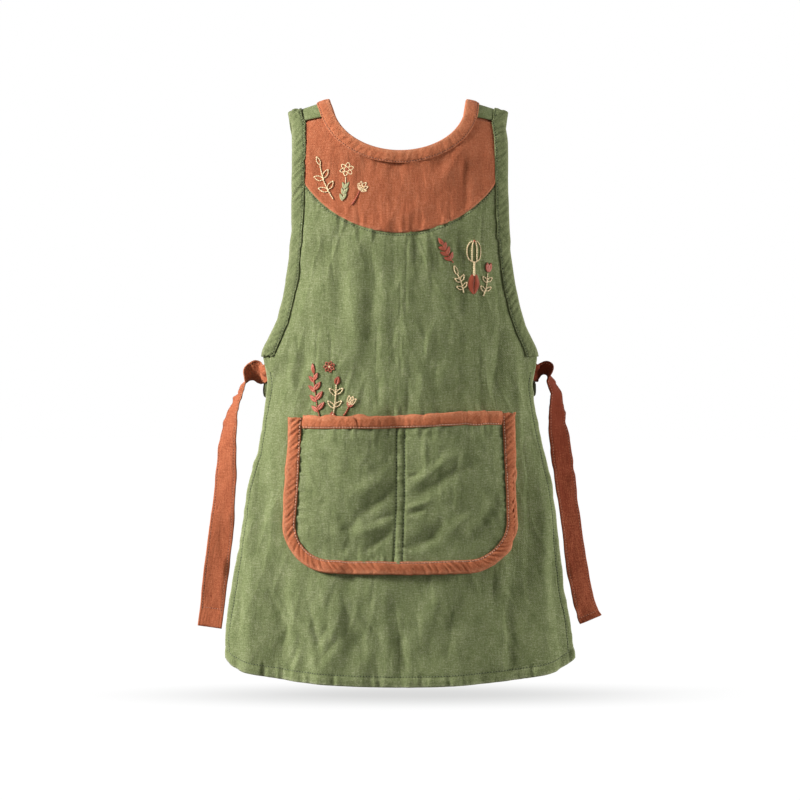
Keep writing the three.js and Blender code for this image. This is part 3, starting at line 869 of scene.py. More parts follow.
class Graph:
    """The node tree of one material."""

    def __init__(self, name: str) -> None:
        """Start a material with an empty tree."""
        self.material = bpy.data.materials.new(name)
        self.material.use_nodes = True
        self.tree = self.material.node_tree
        self.tree.nodes.clear()

    def node(self, kind: str, settings: dict | None = None, values: dict | None = None) -> bpy.types.Node:
        """Add a node.

        Args:
            kind: The node's type.
            settings: Its settings, and a ramp's stops as `stops`.
            values: Values, shades or outputs for its inputs.

        Returns:
            The new node.
        """
        node = self.tree.nodes.new(kind)
        for key, value in (settings or {}).items():
            if key == "stops":
                stops = node.color_ramp.elements
                while len(stops) < len(value):
                    stops.new(0.5)
                for stop, (position, colour) in zip(stops, value):
                    stop.position, stop.color = position, (*colour, 1)
            else:
                setattr(node, key, value)
        for key, value in (values or {}).items():
            if isinstance(value, Shade):
                value = value.socket
            if isinstance(value, bpy.types.NodeSocket):
                self.tree.links.new(value, node.inputs[key])
            else:
                node.inputs[key].default_value = value
        return node

    def attribute(self, name: str, output: str) -> bpy.types.NodeSocket:
        """An attribute of the mesh."""
        settings = {"attribute_type": "GEOMETRY", "attribute_name": name}
        return self.node("ShaderNodeAttribute", settings).outputs[output]

    def noise(self, where: bpy.types.NodeSocket, cell: tuple[float, float], detail: float) -> Shade:
        """Soft noise stretched over cells of a width and height in metres."""
        scale = (1 / cell[0], 1 / cell[1], 1)
        spread = self.node("ShaderNodeMapping", None, {"Vector": where, "Scale": scale})
        values = {"Vector": spread.outputs[0], "Scale": 1.0, "Detail": detail, "Roughness": 0.6}
        return Shade(self, self.node("ShaderNodeTexNoise", None, values).outputs[0])

    def mix(self, share: Shade, one: object, other: object) -> bpy.types.NodeSocket:
        """A colour between two."""
        settings = {"data_type": "RGBA"}
        return self.node("ShaderNodeMix", settings, {0: share, 6: one, 7: other}).outputs[2]

    def finish(self, values: dict) -> bpy.types.Material:
        """Close the tree with its shader.

        Args:
            values: The shader's inputs.

        Returns:
            The material.
        """
        shader = self.node("ShaderNodeBsdfPrincipled", None, values)
        self.node("ShaderNodeOutputMaterial", None, {0: shader.outputs[0]})
        return self.material


@dataclass(frozen=True)
class LinenFinish:
    """Washed linen in a plain weave with slubs.

    Attributes:
        name: The material's name.
        deep: Colour of the threads that lie low, and of painted shade.
        middle: The cloth's main colour.
        pale: Colour of slubs, worn ridges and painted highlights.
        pitch: From one thread to the next, in metres.
        contrast: How much the threads' tones differ.
    """

    name: str
    deep: tuple[float, float, float]
    middle: tuple[float, float, float]
    pale: tuple[float, float, float]
    pitch: float = 0.0009
    contrast: float = 1.0

    def material(self) -> bpy.types.Material:
        """Build the material.

        Returns:
            It, with weave and slubs on the cloth's flat coordinates.
        """
        graph = Graph(self.name)
        flat = graph.attribute("flat", "Vector")
        wear = Shade(graph, graph.attribute("wear", "Fac"))
        warp = graph.noise(flat, (0.0012, 0.011), 2)
        weft = graph.noise(flat, (0.009, 0.0012), 2)
        slub = graph.noise(flat, (0.007, 0.0017), 1)
        grain = graph.noise(flat, (0.0015, 0.0015), 2)
        cloud = graph.noise(flat, (0.014, 0.02), 3)
        crinkle = graph.noise(flat, (0.0055, 0.013), 3)
        parts = graph.node("ShaderNodeSeparateXYZ", None, {0: flat})
        turns = math.tau / (2 * self.pitch)
        waves = [(Shade(graph, parts.outputs[axis]) * turns).sine() for axis in (0, 1)]
        weave = waves[0] * waves[1]
        tone = (warp - 0.5) * 0.45 + (weft - 0.5) * 0.5 + (grain - 0.5) * 1.1
        tone = tone + (slub - 0.5) * 0.25 + (cloud - 0.5) * 0.45 + weave * 0.05
        # Painted highlights and worn places push the tone paler, painted shade pushes it deeper.
        tone = (tone * self.contrast + 0.5 + wear * 0.45).clamped()
        stops = [(0, self.deep), (0.5, self.middle), (1, self.pale)]
        colour = graph.node("ShaderNodeValToRGB", {"stops": stops}, {0: tone}).outputs[0]
        height = weave * 0.4 + warp * 0.7 + weft * 0.7 + grain * 0.8 + cloud * 1.5 + crinkle * 3.2
        bump = graph.node(
            "ShaderNodeBump", None, {"Strength": 0.6, "Distance": 0.00055, "Height": height}
        )
        values = {
            "Base Color": colour,
            "Roughness": 0.9,
            "Sheen Weight": 0.04,
            "Sheen Roughness": 0.5,
            "Specular IOR Level": 0.12,
            "Normal": bump.outputs[0],
        }
        return graph.finish(values)


@dataclass(frozen=True)
class ThreadFinish:
    """Cotton thread, matt on a seam or silky in embroidery.

    Attributes:
        name: The material's name.
        colour: Its colour.
        painted_shade: Painted shade where it dips into the cloth, and in the needle's holes.
        roughness: How matt it is.
    """

    name: str
    colour: tuple[float, float, float]
    painted_shade: tuple[float, float, float]
    roughness: float = 0.55

    def material(self) -> bpy.types.Material:
        """Build the material, with painted shade towards the ends of each stitch."""
        graph = Graph(self.name)
        strand = Shade(graph, graph.attribute("strand", "Fac"))
        where = graph.node("ShaderNodeTexCoord").outputs["Object"]
        twist = graph.noise(where, (0.0005, 0.0005), 2)
        # Painted shade: the colour turns to the shade colour at the stitch's ends and on the hole beads.
        ends = (strand * strand * 3.0 + (twist - 0.5) * 0.8).clamped()
        colour = graph.mix(ends, (*self.colour, 1), (*self.painted_shade, 1))
        bump = graph.node("ShaderNodeBump", None, {"Strength": 0.3, "Distance": 0.0002, "Height": twist})
        return graph.finish(
            {"Base Color": colour, "Roughness": self.roughness, "Normal": bump.outputs[0]}
        )


@dataclass(frozen=True)
class Finishes:
    """All materials of the apron, built once."""

    green: bpy.types.Material
    green_trim: bpy.types.Material
    rust: bpy.types.Material
    rust_trim: bpy.types.Material
    green_thread: bpy.types.Material
    rust_thread: bpy.types.Material
    pale_rust_thread: bpy.types.Material
    cream_silk: bpy.types.Material
    red_silk: bpy.types.Material
    leaf_silk: bpy.types.Material

    @classmethod
    def mixed(cls) -> "Finishes":
        """Mix every finish."""
        green = (0.08, 0.11, 0.034), (0.19, 0.22, 0.094), (0.38, 0.4, 0.235)
        trim = (0.07, 0.096, 0.036), (0.158, 0.184, 0.078), (0.3, 0.32, 0.17)
        rust = (0.18, 0.032, 0.012), (0.405, 0.119, 0.052), (0.6, 0.25, 0.135)
        rust_trim = (0.235, 0.052, 0.02), (0.45, 0.14, 0.062), (0.62, 0.27, 0.145)
        return cls(
            LinenFinish("green linen", *green).material(),
            LinenFinish("green binding", *trim).material(),
            LinenFinish("rust linen", *rust, contrast=0.8).material(),
            LinenFinish("rust binding", *rust_trim, contrast=0.8).material(),
            # Each thread's second colour is painted shade, for its stitches' ends and the needle's holes.
            ThreadFinish("green thread", (0.2, 0.24, 0.1), (0.012, 0.018, 0.006)).material(),
            ThreadFinish("rust thread", (0.48, 0.17, 0.08), (0.07, 0.014, 0.007)).material(),
            ThreadFinish("pale rust thread", (0.78, 0.46, 0.3), (0.06, 0.012, 0.006)).material(),
            ThreadFinish("cream silk", (0.92, 0.72, 0.42), (0.3, 0.15, 0.05), 0.42).material(),
            ThreadFinish("red silk", (0.46, 0.095, 0.045), (0.07, 0.01, 0.005), 0.45).material(),
            ThreadFinish("leaf silk", (0.4, 0.4, 0.19), (0.06, 0.07, 0.02), 0.5).material(),
        )


@dataclass(frozen=True)
class Cut:
    """The flat cut of one sheet, and how it hangs.

    Attributes:
        width: Width of the cut, in metres.
        length: Length of the cut.
        held: How the cloth is held.
        rests_on: What it hangs from or lies on.
        area: Area of the cut where it isn't a rectangle.
    """

    width: float
    length: float
    held: str
    rests_on: tuple[str, ...]
    area: float | None = None


def hand_over(
    piece: bpy.types.Object,
    finish: bpy.types.Material,
    threads: Sequence[bpy.types.Object] = (),
) -> bpy.types.Object:
    """Args:
        piece: The sheet, named with its node's name and `_cloth`.
        finish: Its material.
        threads: Not used.

    Returns:
        The piece.
    """
    piece.data.materials.append(finish)
    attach(piece, "root")
    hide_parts(piece.name.removesuffix("_cloth"))
    log.info("%s: %d faces", piece.name, len(piece.data.polygons))
    return piece


@dataclass
class BodyPanel:
    """The green front below the yoke, its side and bottom hems turned in and sewn.

    Attributes:
        form: The form that it is laid over.
        finishes: The materials.
        bottom_hem: Width of the bottom hem.
        side_hem: Share of the half section at which the side hems are sewn.
        hem_linen: Thickness of a hem.
        drawn_drop: Shoulder line to where the pocket draws the cloth in.
        side_length: Length that one share of the half section stands for.
    """

    form: ApronForm
    finishes: Finishes
    bottom_hem: float = 10.5
    side_hem: float = 0.955
    hem_linen: float = 2.6
    drawn_drop: float = 311
    side_length: float = 210
    gathers = SmoothNoise(11, 3.9, 16)
    lumps = SmoothNoise(12, 4.6, 40)
    edging = SmoothNoise(13, 7, 60)

    def height(self, share: Array, v: Array) -> Array:
        """Heights between the yoke's seam and the hem's edge."""
        top = self.form.yoke_seam(share) - self.form.seam_gap
        return lerp(top, self.form.hem_line(share), np.maximum(v, 0)) - np.minimum(v, 0) * 500

    def ripple(self, share: Array, z: Array) -> Array:
        """How far sewing has puckered the cloth, out of the form."""
        form = self.form
        x = form.point(share, z)[..., 0]
        under_seam = form.yoke_seam(share) - z
        middle = bell(x + 8, 62)
        gathers = self.gathers.at(x, z) * np.exp(-under_seam / 20) * (0.25 + 0.75 * middle) * 1.5
        seam = -0.5 * bell(under_seam - 2.4, 1.3) - 0.5 * bell(under_seam, 1.4)
        over_hem = z - form.hem_line(share)
        hem = self.lumps.at(x, z) * (1 - smoothstep(over_hem, 6, 17))
        sewn = -0.6 * bell(over_hem - self.bottom_hem, 1.5) + 0.5 * bell(over_hem - 5, 4)
        low = -z - form.underarm_drop - 14
        side = np.abs(share)
        beside = smoothstep(side, 0.93, 0.99) * smoothstep(low, 0, 20)
        edge = 0.5 * self.edging.at(z, side * 200) * beside
        stitched = -0.4 * bell((side - self.side_hem) * self.side_length, 1.6) * smoothstep(low, 0, 6)
        over_pocket = z + self.drawn_drop
        tucks = 0.9 * self.gathers.at(x * 0.8 + 90, z) * bell(over_pocket - 4, 13) * bell(x, 80)
        return gathers + seam + hem + sewn + edge + stitched + tucks

    def place(self, share: Array, v: Array, out: Array) -> Array:
        """Points of the panel's outer face."""
        z = self.height(share, v)
        tucked = SEAM_TUCK * smoothstep(-v, 0, 0.004)
        return self.form.cloth(share, z, out + self.ripple(share, z) - tucked)

    def thick(self, share: Array, v: Array) -> Array:
        """Share of the hem's thickness that the cloth has."""
        z = self.height(share, v)
        low = z < self.form.hem_line(share) + self.bottom_hem
        side = (np.abs(share) > self.side_hem) & (z < -self.form.underarm_drop - 13)
        return np.where(low | side, 1.0, self.form.linen / self.hem_linen)

    def wear(self, share: Array, v: Array) -> Array:
        """Paler cloth along the hems' folds."""
        z = self.height(share, v)
        bottom = bell(z - self.form.hem_line(share), 2)
        side = bell((1 - np.abs(share)) * self.side_length, 2) * (z < -self.form.underarm_drop - 10)
        return np.maximum(bottom, side) * 0.7

    def sew(self) -> bpy.types.Object:
        """Sew the hems and the seam under the yoke."""
        form = self.form
        thread = Thread("hem_stitches", self.finishes.green_thread)
        share = np.linspace(-0.975, 0.975, 700)
        lines = [(share, form.hem_line(share) + self.bottom_hem)]
        for side in Side:
            z = np.linspace(-form.underarm_drop - 16, -form.length + 30, 400)
            lines.append((np.full(z.shape, self.side_hem * side.value), z))
        across = np.linspace(-0.985, 0.985, 400)
        lines.append((across, form.yoke_seam(across) - 2.4))
        for share, z in lines:
            line = form.cloth(share, z, self.ripple(share, z) + 0.2)
            thread.follow(line, form.frame(share, z)[2], EDGE_SEAM)
        return thread.build(Slot.GREEN)

    def build(self) -> bpy.types.Object:
        """Make the panel and its stitches."""
        outer = spaced(0.93, 1, 0.007)
        columns = np.concatenate([-outer[::-1], spaced(-0.93, 0.93, 0.0078)[1:-1], outer])
        parts = ((-0.008, 0, 0.004), (0, 0.08, 0.0044), (0.08, 0.96, 0.0063), (0.96, 1, 0.0035))
        rows = np.unique(np.concatenate([spaced(*part) for part in parts]))
        piece = Sheet(
            "body_panel_cloth",
            columns,
            rows,
            self.place,
            self.hem_linen,
            upright=True,
            thick=self.thick,
            wear=self.wear,
        ).build()
        return hand_over(piece, self.finishes.green, [self.sew()])


@dataclass
class Yoke:
    """The rust yoke between the neckline, shoulder seams, armholes and the curved seam.

    Attributes:
        form: The form that it is laid over.
        finishes: The materials.
        neck_part: Share of its half width that ends at the neckline.
        allowance: How far it reaches under the straps.
    """

    form: ApronForm
    finishes: Finishes
    neck_part: float = 0.7
    allowance: float = 2.2
    gathers = SmoothNoise(15, 3.2, 14)

    # Soft dents. Columns as in the form's creases.
    dents = Rows(
        "x z x2 z2 wide stand",
        [
            (-34, -46, 14, -76, 7, -1.1),
            (-20, -44, 30, -66, 6, 0.7),
            (70, -34, 36, -88, 7, 1.2),
            (64, -38, 66, -122, 4.5, -1.0),
            (90, -40, 88, -100, 6, 0.9),
            (-92, -36, -84, -90, 6, 0.7),
            (-60, -44, -30, -110, 9, 0.6),
            (40, -92, -10, -122, 8, 0.6),
        ],
    )

    def top(self, u: Array) -> tuple[Array, Array]:
        """Shares and heights of the top edge: the neckline, then the shoulder seams."""
        side = np.sign(u)
        share, z = self.form.neck_edge(np.clip(u / self.neck_part, -1, 1))
        over = np.maximum(np.abs(u) - self.neck_part, 0) / (1 - self.neck_part)
        outer = lerp(share, side, over)
        under = self.allowance * smoothstep(over, 0, 0.2)
        return outer, lerp(z, -self.form.shoulder_seam_end, over) + under

    def spot(self, u: Array, v: Array) -> tuple[Array, Array]:
        """Share and height of a point of the yoke."""
        share, z = self.top(u)
        return lerp(share, u, v), lerp(z, self.form.yoke_seam(u), v)

    def ripple(self, u: Array, share: Array, z: Array) -> Array:
        """How far dents and sewing push the cloth out of the form."""
        form = self.form
        x = form.point(share, z)[..., 0]
        above = z - form.yoke_seam(u)
        total = 1.9 * creased(self.dents, x, z, 1)
        total = total + 1.1 * self.gathers.at(x, z) * np.exp(-above / 15) * bell(x - 5, 60)
        neck = form.neck_rise - np.sqrt(np.maximum((form.neck_rise + form.neck_drop) ** 2 - x**2, 0))
        below = np.maximum(neck - z, 0)
        total = total + self.gathers.at(x + 70, z) * np.exp(-below / 20) * bell(x, 55)
        return total + 0.5 * bell(above - 3, 3.5) - 0.5 * bell(above, 1.2)

    def place(self, u: Array, v: Array, out: Array) -> Array:
        """Points of the yoke's outer face."""
        share, z = self.spot(u, v)
        over = smoothstep(np.abs(u), self.neck_part, self.neck_part + 0.06)
        tucked = SEAM_TUCK * over * (1 - smoothstep(v, 0.02, 0.06))
        return self.form.cloth(share, z, out + self.ripple(u, share, z) - tucked)

    def build(self) -> bpy.types.Object:
        """Make the yoke."""
        piece = Sheet(
            "yoke_cloth",
            spaced(-1, 1, 0.0105),
            spaced(0, 1, 0.0105),
            self.place,
            self.form.linen,
            upright=True,
            # Paler along the lower edge over the seam: worn cloth, and a painted highlight on its lip.
            wear=lambda u, v: 0.5 * bell((1 - v) * 60, 1.5),
        ).build()
        return hand_over(piece, self.finishes.rust)


@dataclass
class StrapRun:
    """The run of one strap over a shoulder and across the back.

    Attributes:
        form: The form that its ends are sewn to.
        side: The shoulder that it starts from.
        back_depth: How far the straps stand behind the shoulder line.
        shoulder_half: Middle to its centre line on the shoulder.
        width: Its width.
        shoulder_round: Height over which the shoulder rounds off.
        lift: How far it gives way where the two cross.
        tuck: Its end under the underarm corner.
        seat: How far inside the panel's face its end lies.
    """

    form: ApronForm
    side: Side
    back_depth: float = 77
    shoulder_half: float = 92
    width: float = 41
    shoulder_round: float = 45
    lift: float = 4
    tuck: float = 20
    seat: float = 9.7

    # Centre line. across: share of the shoulder's half width on its own side, or, where
    # negative, of the underarm's on the other. back: share of the back depth.
    # down: share of the underarm drop.
    route_rows = Rows(
        "across back down",
        [
            (0.99, -0.09, 0.016),
            (1, 0, 0),
            (1, 0.1, 0.012),
            (0.99, 0.24, 0.055),
            (0.935, 0.45, 0.14),
            (0.82, 0.65, 0.25),
            (0.6, 0.84, 0.39),
            (0.27, 0.96, 0.55),
            (0, 1, 0.67),
            (-0.24, 0.98, 0.78),
            (-0.49, 0.88, 0.87),
            (-0.74, 0.66, 0.96),
            (-0.93, 0.32, 1.02),
            (-1.01, -0.06, 1.06),
        ],
    )

    def __post_init__(self) -> None:
        """Lay the route from the shoulder seam to the other underarm corner."""
        form, side = self.form, float(self.side.value)
        neck_share, neck_z = (float(value) for value in form.neck_edge(np.array(side)))
        arm_z = -form.shoulder_seam_end
        ends = form.point(np.array([neck_share, side]), np.array([neck_z, arm_z]))
        middle = ends.mean(axis=0)
        crown = form.point(np.array((neck_share + side) / 2), np.array((neck_z + arm_z) / 2))
        self.crown = float(np.linalg.norm(crown - middle))
        self.seam = ends[0] - ends[1]
        route = [middle]
        own_half = self.shoulder_half - (form.shoulder_tuck if side > 0 else 0)
        for row in self.route_rows.each():
            half = form.underarm_half if row["across"] < 0 else own_half
            x = side * row["across"] * half
            lift = self.lift * side * math.exp(-((x / self.width) ** 4))
            y, z = row["back"] * self.back_depth - lift, -row["down"] * form.underarm_drop
            route.append(np.array([x, y, z]))
        sewn = np.full(2, -form.underarm_drop - self.tuck)
        route.extend(form.cloth(-side * np.array([1.05, 0.9]), sewn, np.full(2, -self.seat)))
        self.route = Route(np.array(route))

    def at(self, t: Array, offset: Array, lifted: Array) -> Array:
        """Points of the strap.

        Args:
            t: Shares of its length from the shoulder seam.
            offset: Towards the neck from its centre line.
            lifted: Out of it.

        Returns:
            One point for each t.
        """
        side = self.side.value
        centre, along = self.route.along(t)
        form = self.form
        rise = np.maximum(centre[..., 2] + self.shoulder_round, 0) / self.shoulder_round**2 * 0.72
        body = np.stack(
            [centre[..., 0] / form.underarm_half**2, centre[..., 1] / self.back_depth**2, rise],
            axis=-1,
        )
        settled = self.settled(t)[..., None]
        across = unit(np.cross(along, body)) * -side
        across = unit(lerp(across, unit(self.seam), 1 - settled))
        out = unit(np.cross(across, along)) * -side
        width = self.width_at(t)
        crown = self.crown * (1 - settled[..., 0]) * (1 - (2 * offset / width) ** 2)
        return centre + across * offset[..., None] + out * (crown + lifted)[..., None]

    def settled(self, t: Array) -> Array:
        """0 at the shoulder seam, 1 where the strap has its own width and lie."""
        return smoothstep(t * self.route.length, 0, 0.5 * self.shoulder_round)

    def width_at(self, t: Array) -> Array:
        """The strap's width, from the shoulder seam's to its own."""
        return lerp(float(np.linalg.norm(self.seam)), self.width, self.settled(t))


@dataclass
class ShoulderStrap:
    """A green strap over one shoulder.

    Attributes:
        run: Its run.
        finishes: The materials.
    """

    run: StrapRun
    finishes: Finishes
    waves = SmoothNoise(19, 12, 30)

    def place(self, u: Array, t: Array, out: Array) -> Array:
        """Points of the strap's outer face."""
        width = self.run.width_at(t)
        gone = t * self.run.route.length
        soft = 0.5 * self.waves.at(u * width / 2, gone) * smoothstep(gone, 4, 30) * (1 - u**4)
        return self.run.at(t, u * width / 2, out + soft)

    def build(self) -> bpy.types.Object:
        """Make the strap."""
        name = f"shoulder_strap_{self.run.side.word}_cloth"
        rows = spaced(0.002, 1, 0.0055)
        piece = Sheet(name, spaced(-1, 1, 0.08), rows, self.place, self.run.form.linen).build()
        return hand_over(piece, self.finishes.green)


@dataclass
class Binding:
    """A bias strip folded over an edge and sewn through near its inner edge.

    Attributes:
        name: The piece's name.
        width: Width of its front leaf.
        stations: Where it runs, in the edge's own terms.
        lay: Gives points for stations, distances inwards and distances out.
        seed: Seed of its puckers.
        slant: How far the puckers lean with the bias.
        stand: How far they stand.
        cell: Half the distance between them.
        leaf: Height of its front leaf over the cloth.
        linen: Thickness of a leaf.
        below: Depth of its back leaf's face under the cloth's outer face.
        worn: How much paler its cloth is.
    """

    name: str
    width: float
    stations: Array
    lay: Callable[[Array, Array, Array], Array]
    seed: int
    slant: float = 0.9
    stand: float = 0.5
    cell: float = 3.4
    leaf: float = 1.7
    linen: float = 0.8
    below: float = 2.9
    worn: float = 0

    def __post_init__(self) -> None:
        """Measure the edge, and draw the puckers."""
        nothing = np.zeros(len(self.stations))
        line = self.lay(self.stations, nothing + self.width / 2, nothing)
        steps = np.linalg.norm(np.diff(line, axis=0), axis=1)
        self.gone = np.append(0, np.cumsum(steps))
        self.waves = SmoothNoise(self.seed, self.cell, 26)
        self.patches = SmoothNoise(self.seed + 1, 22, 50)

    def length_at(self, t: Array) -> Array:
        """Length of the binding up to stations."""
        return np.interp(t, self.stations, self.gone)

    def front(self, t: Array, inwards: Array) -> Array:
        """Height of the front leaf, with its puckers and its line of stitches."""
        gone = self.length_at(t)
        strong = np.clip(0.8 + 0.6 * self.patches.at(gone, 0 * gone), 0.45, 1.25)
        along = gone + self.slant * inwards
        turn = math.pi * along / (2.1 * self.cell) + 1.3 * self.waves.at(along, inwards)
        wave = 0.6 - 1.6 * (1 - np.abs(np.sin(turn))) ** 1.6
        within = np.clip(inwards / self.width, 0, 1)
        window = np.sin(math.pi * within) ** 0.5 * 0.85 + 0.15
        sewn = 0.6 * bell(inwards - (self.width - 1.6), 0.8)
        edge = 0.7 * bell(inwards - self.width, 0.45)
        pad = 0.35 * np.sin(math.pi * within)
        return self.leaf + pad + self.stand * strong * wave * window - sewn - edge

    def section(self) -> tuple[Array, Array, Array]:
        """Stations round the fold.

        Returns:
            Distances inwards, heights where they aren't the front leaf's, and 1 on that leaf.
        """
        flat = spaced(self.width - 3.2, 0, 1.05)
        seam = self.width - np.array([0, 0.3, 0.75, 1.2, 1.6, 2.0, 2.5])
        angle = np.radians(np.linspace(110, 255, 7))
        middle, tall = (self.leaf - self.below) / 2, (self.leaf + self.below) / 2
        fold = -0.2 + 1.8 * np.cos(angle)
        back = spaced(0, self.width, 2.2)
        inwards = np.concatenate([seam, flat, fold, back])
        height = np.concatenate(
            [0 * seam, 0 * flat, middle + tall * np.sin(angle), 0 * back - self.below]
        )
        on_front = np.concatenate([0 * seam + 1, 0 * flat + 1, 0 * fold, 0 * back])
        return inwards, height, on_front

    def place(self, turn: Array, t: Array, out: Array) -> Array:
        """Points of the binding's outer face.

        Args:
            turn: Number of the station round the fold.
            t: Station along the edge.
            out: Distance out of the face.

        Returns:
            One point for each pair.
        """
        inwards, height, on_front = (part[turn.astype(int)] for part in self.section())
        front = self.front(t, np.maximum(inwards, 0))
        height = np.where(on_front > 0, front, height)
        folded = np.where(inwards < 0, 1.0, 0.0) * (1 - on_front)
        facing = np.where(on_front > 0, 1.0, np.where(folded > 0, 0.0, -1.0))
        return self.lay(t, inwards - folded * out, height + facing * out)

    def sheet(self) -> bpy.types.Object:
        """Make the folded strip."""
        inwards = self.section()[0]
        turns = np.arange(len(inwards), dtype=float)

        def wear(turn: Array, t: Array) -> Array:
            """Paler worn cloth on the fold, and a painted highlight along the leaf's edge."""
            off = inwards[turn.astype(int)]
            # The second bell paints a highlight along the lip at the leaf's edge.
            return self.worn + 0.45 * bell(off, 2.0) + 0.25 * bell(off - self.width, 0.8)

        return Sheet(
            self.name, turns, self.stations, self.place, self.linen, bias=True, wear=wear
        ).build()

    def sew(self, thread: Thread, back: bool, inset: float) -> None:
        """Sew along the leaves.

        Args:
            thread: The thread that the stitches join.
            back: True to show them on the back leaf too.
            inset: How far inside the leaf's edge they run.
        """
        t = self.stations
        inwards = np.full(len(t), self.width - inset)
        height = self.front(t, inwards) + 0.12
        line = self.lay(t, inwards, height)
        thread.follow(line, self.lay(t, inwards, height + 1) - line, EDGE_SEAM)
        if back:
            under = self.lay(t, inwards, 0 * height - self.below - 0.12)
            out = self.lay(t, inwards, 0 * height - self.below - 1) - under
            thread.follow(under, out, EDGE_SEAM)


def bind(
    trim: Binding,
    thread: Thread,
    slot: Slot,
    finish: bpy.types.Material,
    back: bool = True,
    inset: float = 1.6,
) -> bpy.types.Object:
    """Args:
        trim: The binding.
        thread: Its thread.
        slot: The record's slot of both.
        finish: The binding's material.
        back: True to show the stitches on the back leaf too.
        inset: How far inside the leaf's edge they run.

    Returns:
        The binding's piece.
    """
    trim.sew(thread, back, inset)
    threads = [thread.build(slot)]
    return hand_over(trim.sheet(), finish, threads)


@dataclass
class EdgeBindings:
    """The bindings of the neckline and both armholes, which run on over the straps.

    Attributes:
        form: The form that they are laid over.
        finishes: The materials.
        runs: Both straps' runs.
        neck_width: Width of the neck binding.
        armhole_width: Width of the armhole bindings.
    """

    form: ApronForm
    finishes: Finishes
    runs: dict[Side, StrapRun]
    neck_width: float = 12
    armhole_width: float = 13

    def over_strap(self, run: StrapRun, t: Array, inwards: Array, out: Array, neck: bool) -> Array:
        """Points beside a strap's neck edge or its outer edge."""
        half = run.width_at(t) / 2
        return run.at(t, half - inwards if neck else inwards - half, out)

    def lay_neck(self, t: Array, inwards: Array, out: Array) -> Array:
        """Points beside the neckline between -1 and 1, and beside the straps beyond."""
        edge = np.clip(t, -1, 1)
        points = self.form.beside(self.form.neck_edge, edge, -1, inwards, out)
        for side in Side:
            over = t * side.value > 1
            if over.any():
                gone = np.abs(t[over]) - 1
                points[over] = self.over_strap(self.runs[side], gone, inwards[over], out[over], True)
        return points

    def lay_armhole(self, side: Side) -> Callable[[Array, Array, Array], Array]:
        """Points beside an armhole for t from -1 to 0, and beside its strap to 1."""
        form, run = self.form, self.runs[side]

        def lay(t: Array, inwards: Array, out: Array) -> Array:
            """Points of one binding."""
            drop = lerp(form.shoulder_seam_end, form.underarm_drop, np.clip(-t, 0, 1))
            points = form.beside(form.armhole_edge(side), drop, -side.value, inwards, out)
            over = t > 0
            if over.any():
                points[over] = self.over_strap(run, t[over], inwards[over], out[over], False)
            return points

        return lay

    def build_neck(self) -> bpy.types.Object:
        """Make the neck binding and its stitches."""
        strap = 1 + spaced(0.004, 1, 0.0042)
        stations = np.concatenate([-strap[::-1], spaced(-0.998, 0.998, 0.016), strap])
        trim = Binding("neck_binding_cloth", self.neck_width, stations, self.lay_neck, 31, 0.4, 0.6)
        thread = Thread("neck_stitches", self.finishes.rust_thread)
        return bind(trim, thread, Slot.RUST_TRIM, self.finishes.rust_trim)

    def build_armhole(self, side: Side) -> bpy.types.Object:
        """Make an armhole binding and its stitches."""
        stations = np.concatenate([spaced(-1, -0.002, 0.0075), spaced(0.002, 1, 0.0042)])
        name = f"armhole_binding_{side.word}_cloth"
        lay, seed = self.lay_armhole(side), 51 + 2 * side.value
        slant = 0.9 * side.value
        trim = Binding(name, self.armhole_width, stations, lay, seed, slant, 1.25, 3.9)
        thread = Thread(f"armhole_stitches_{side.word}", self.finishes.green_thread)
        return bind(trim, thread, Slot.GREEN_TRIM, self.finishes.green_trim)


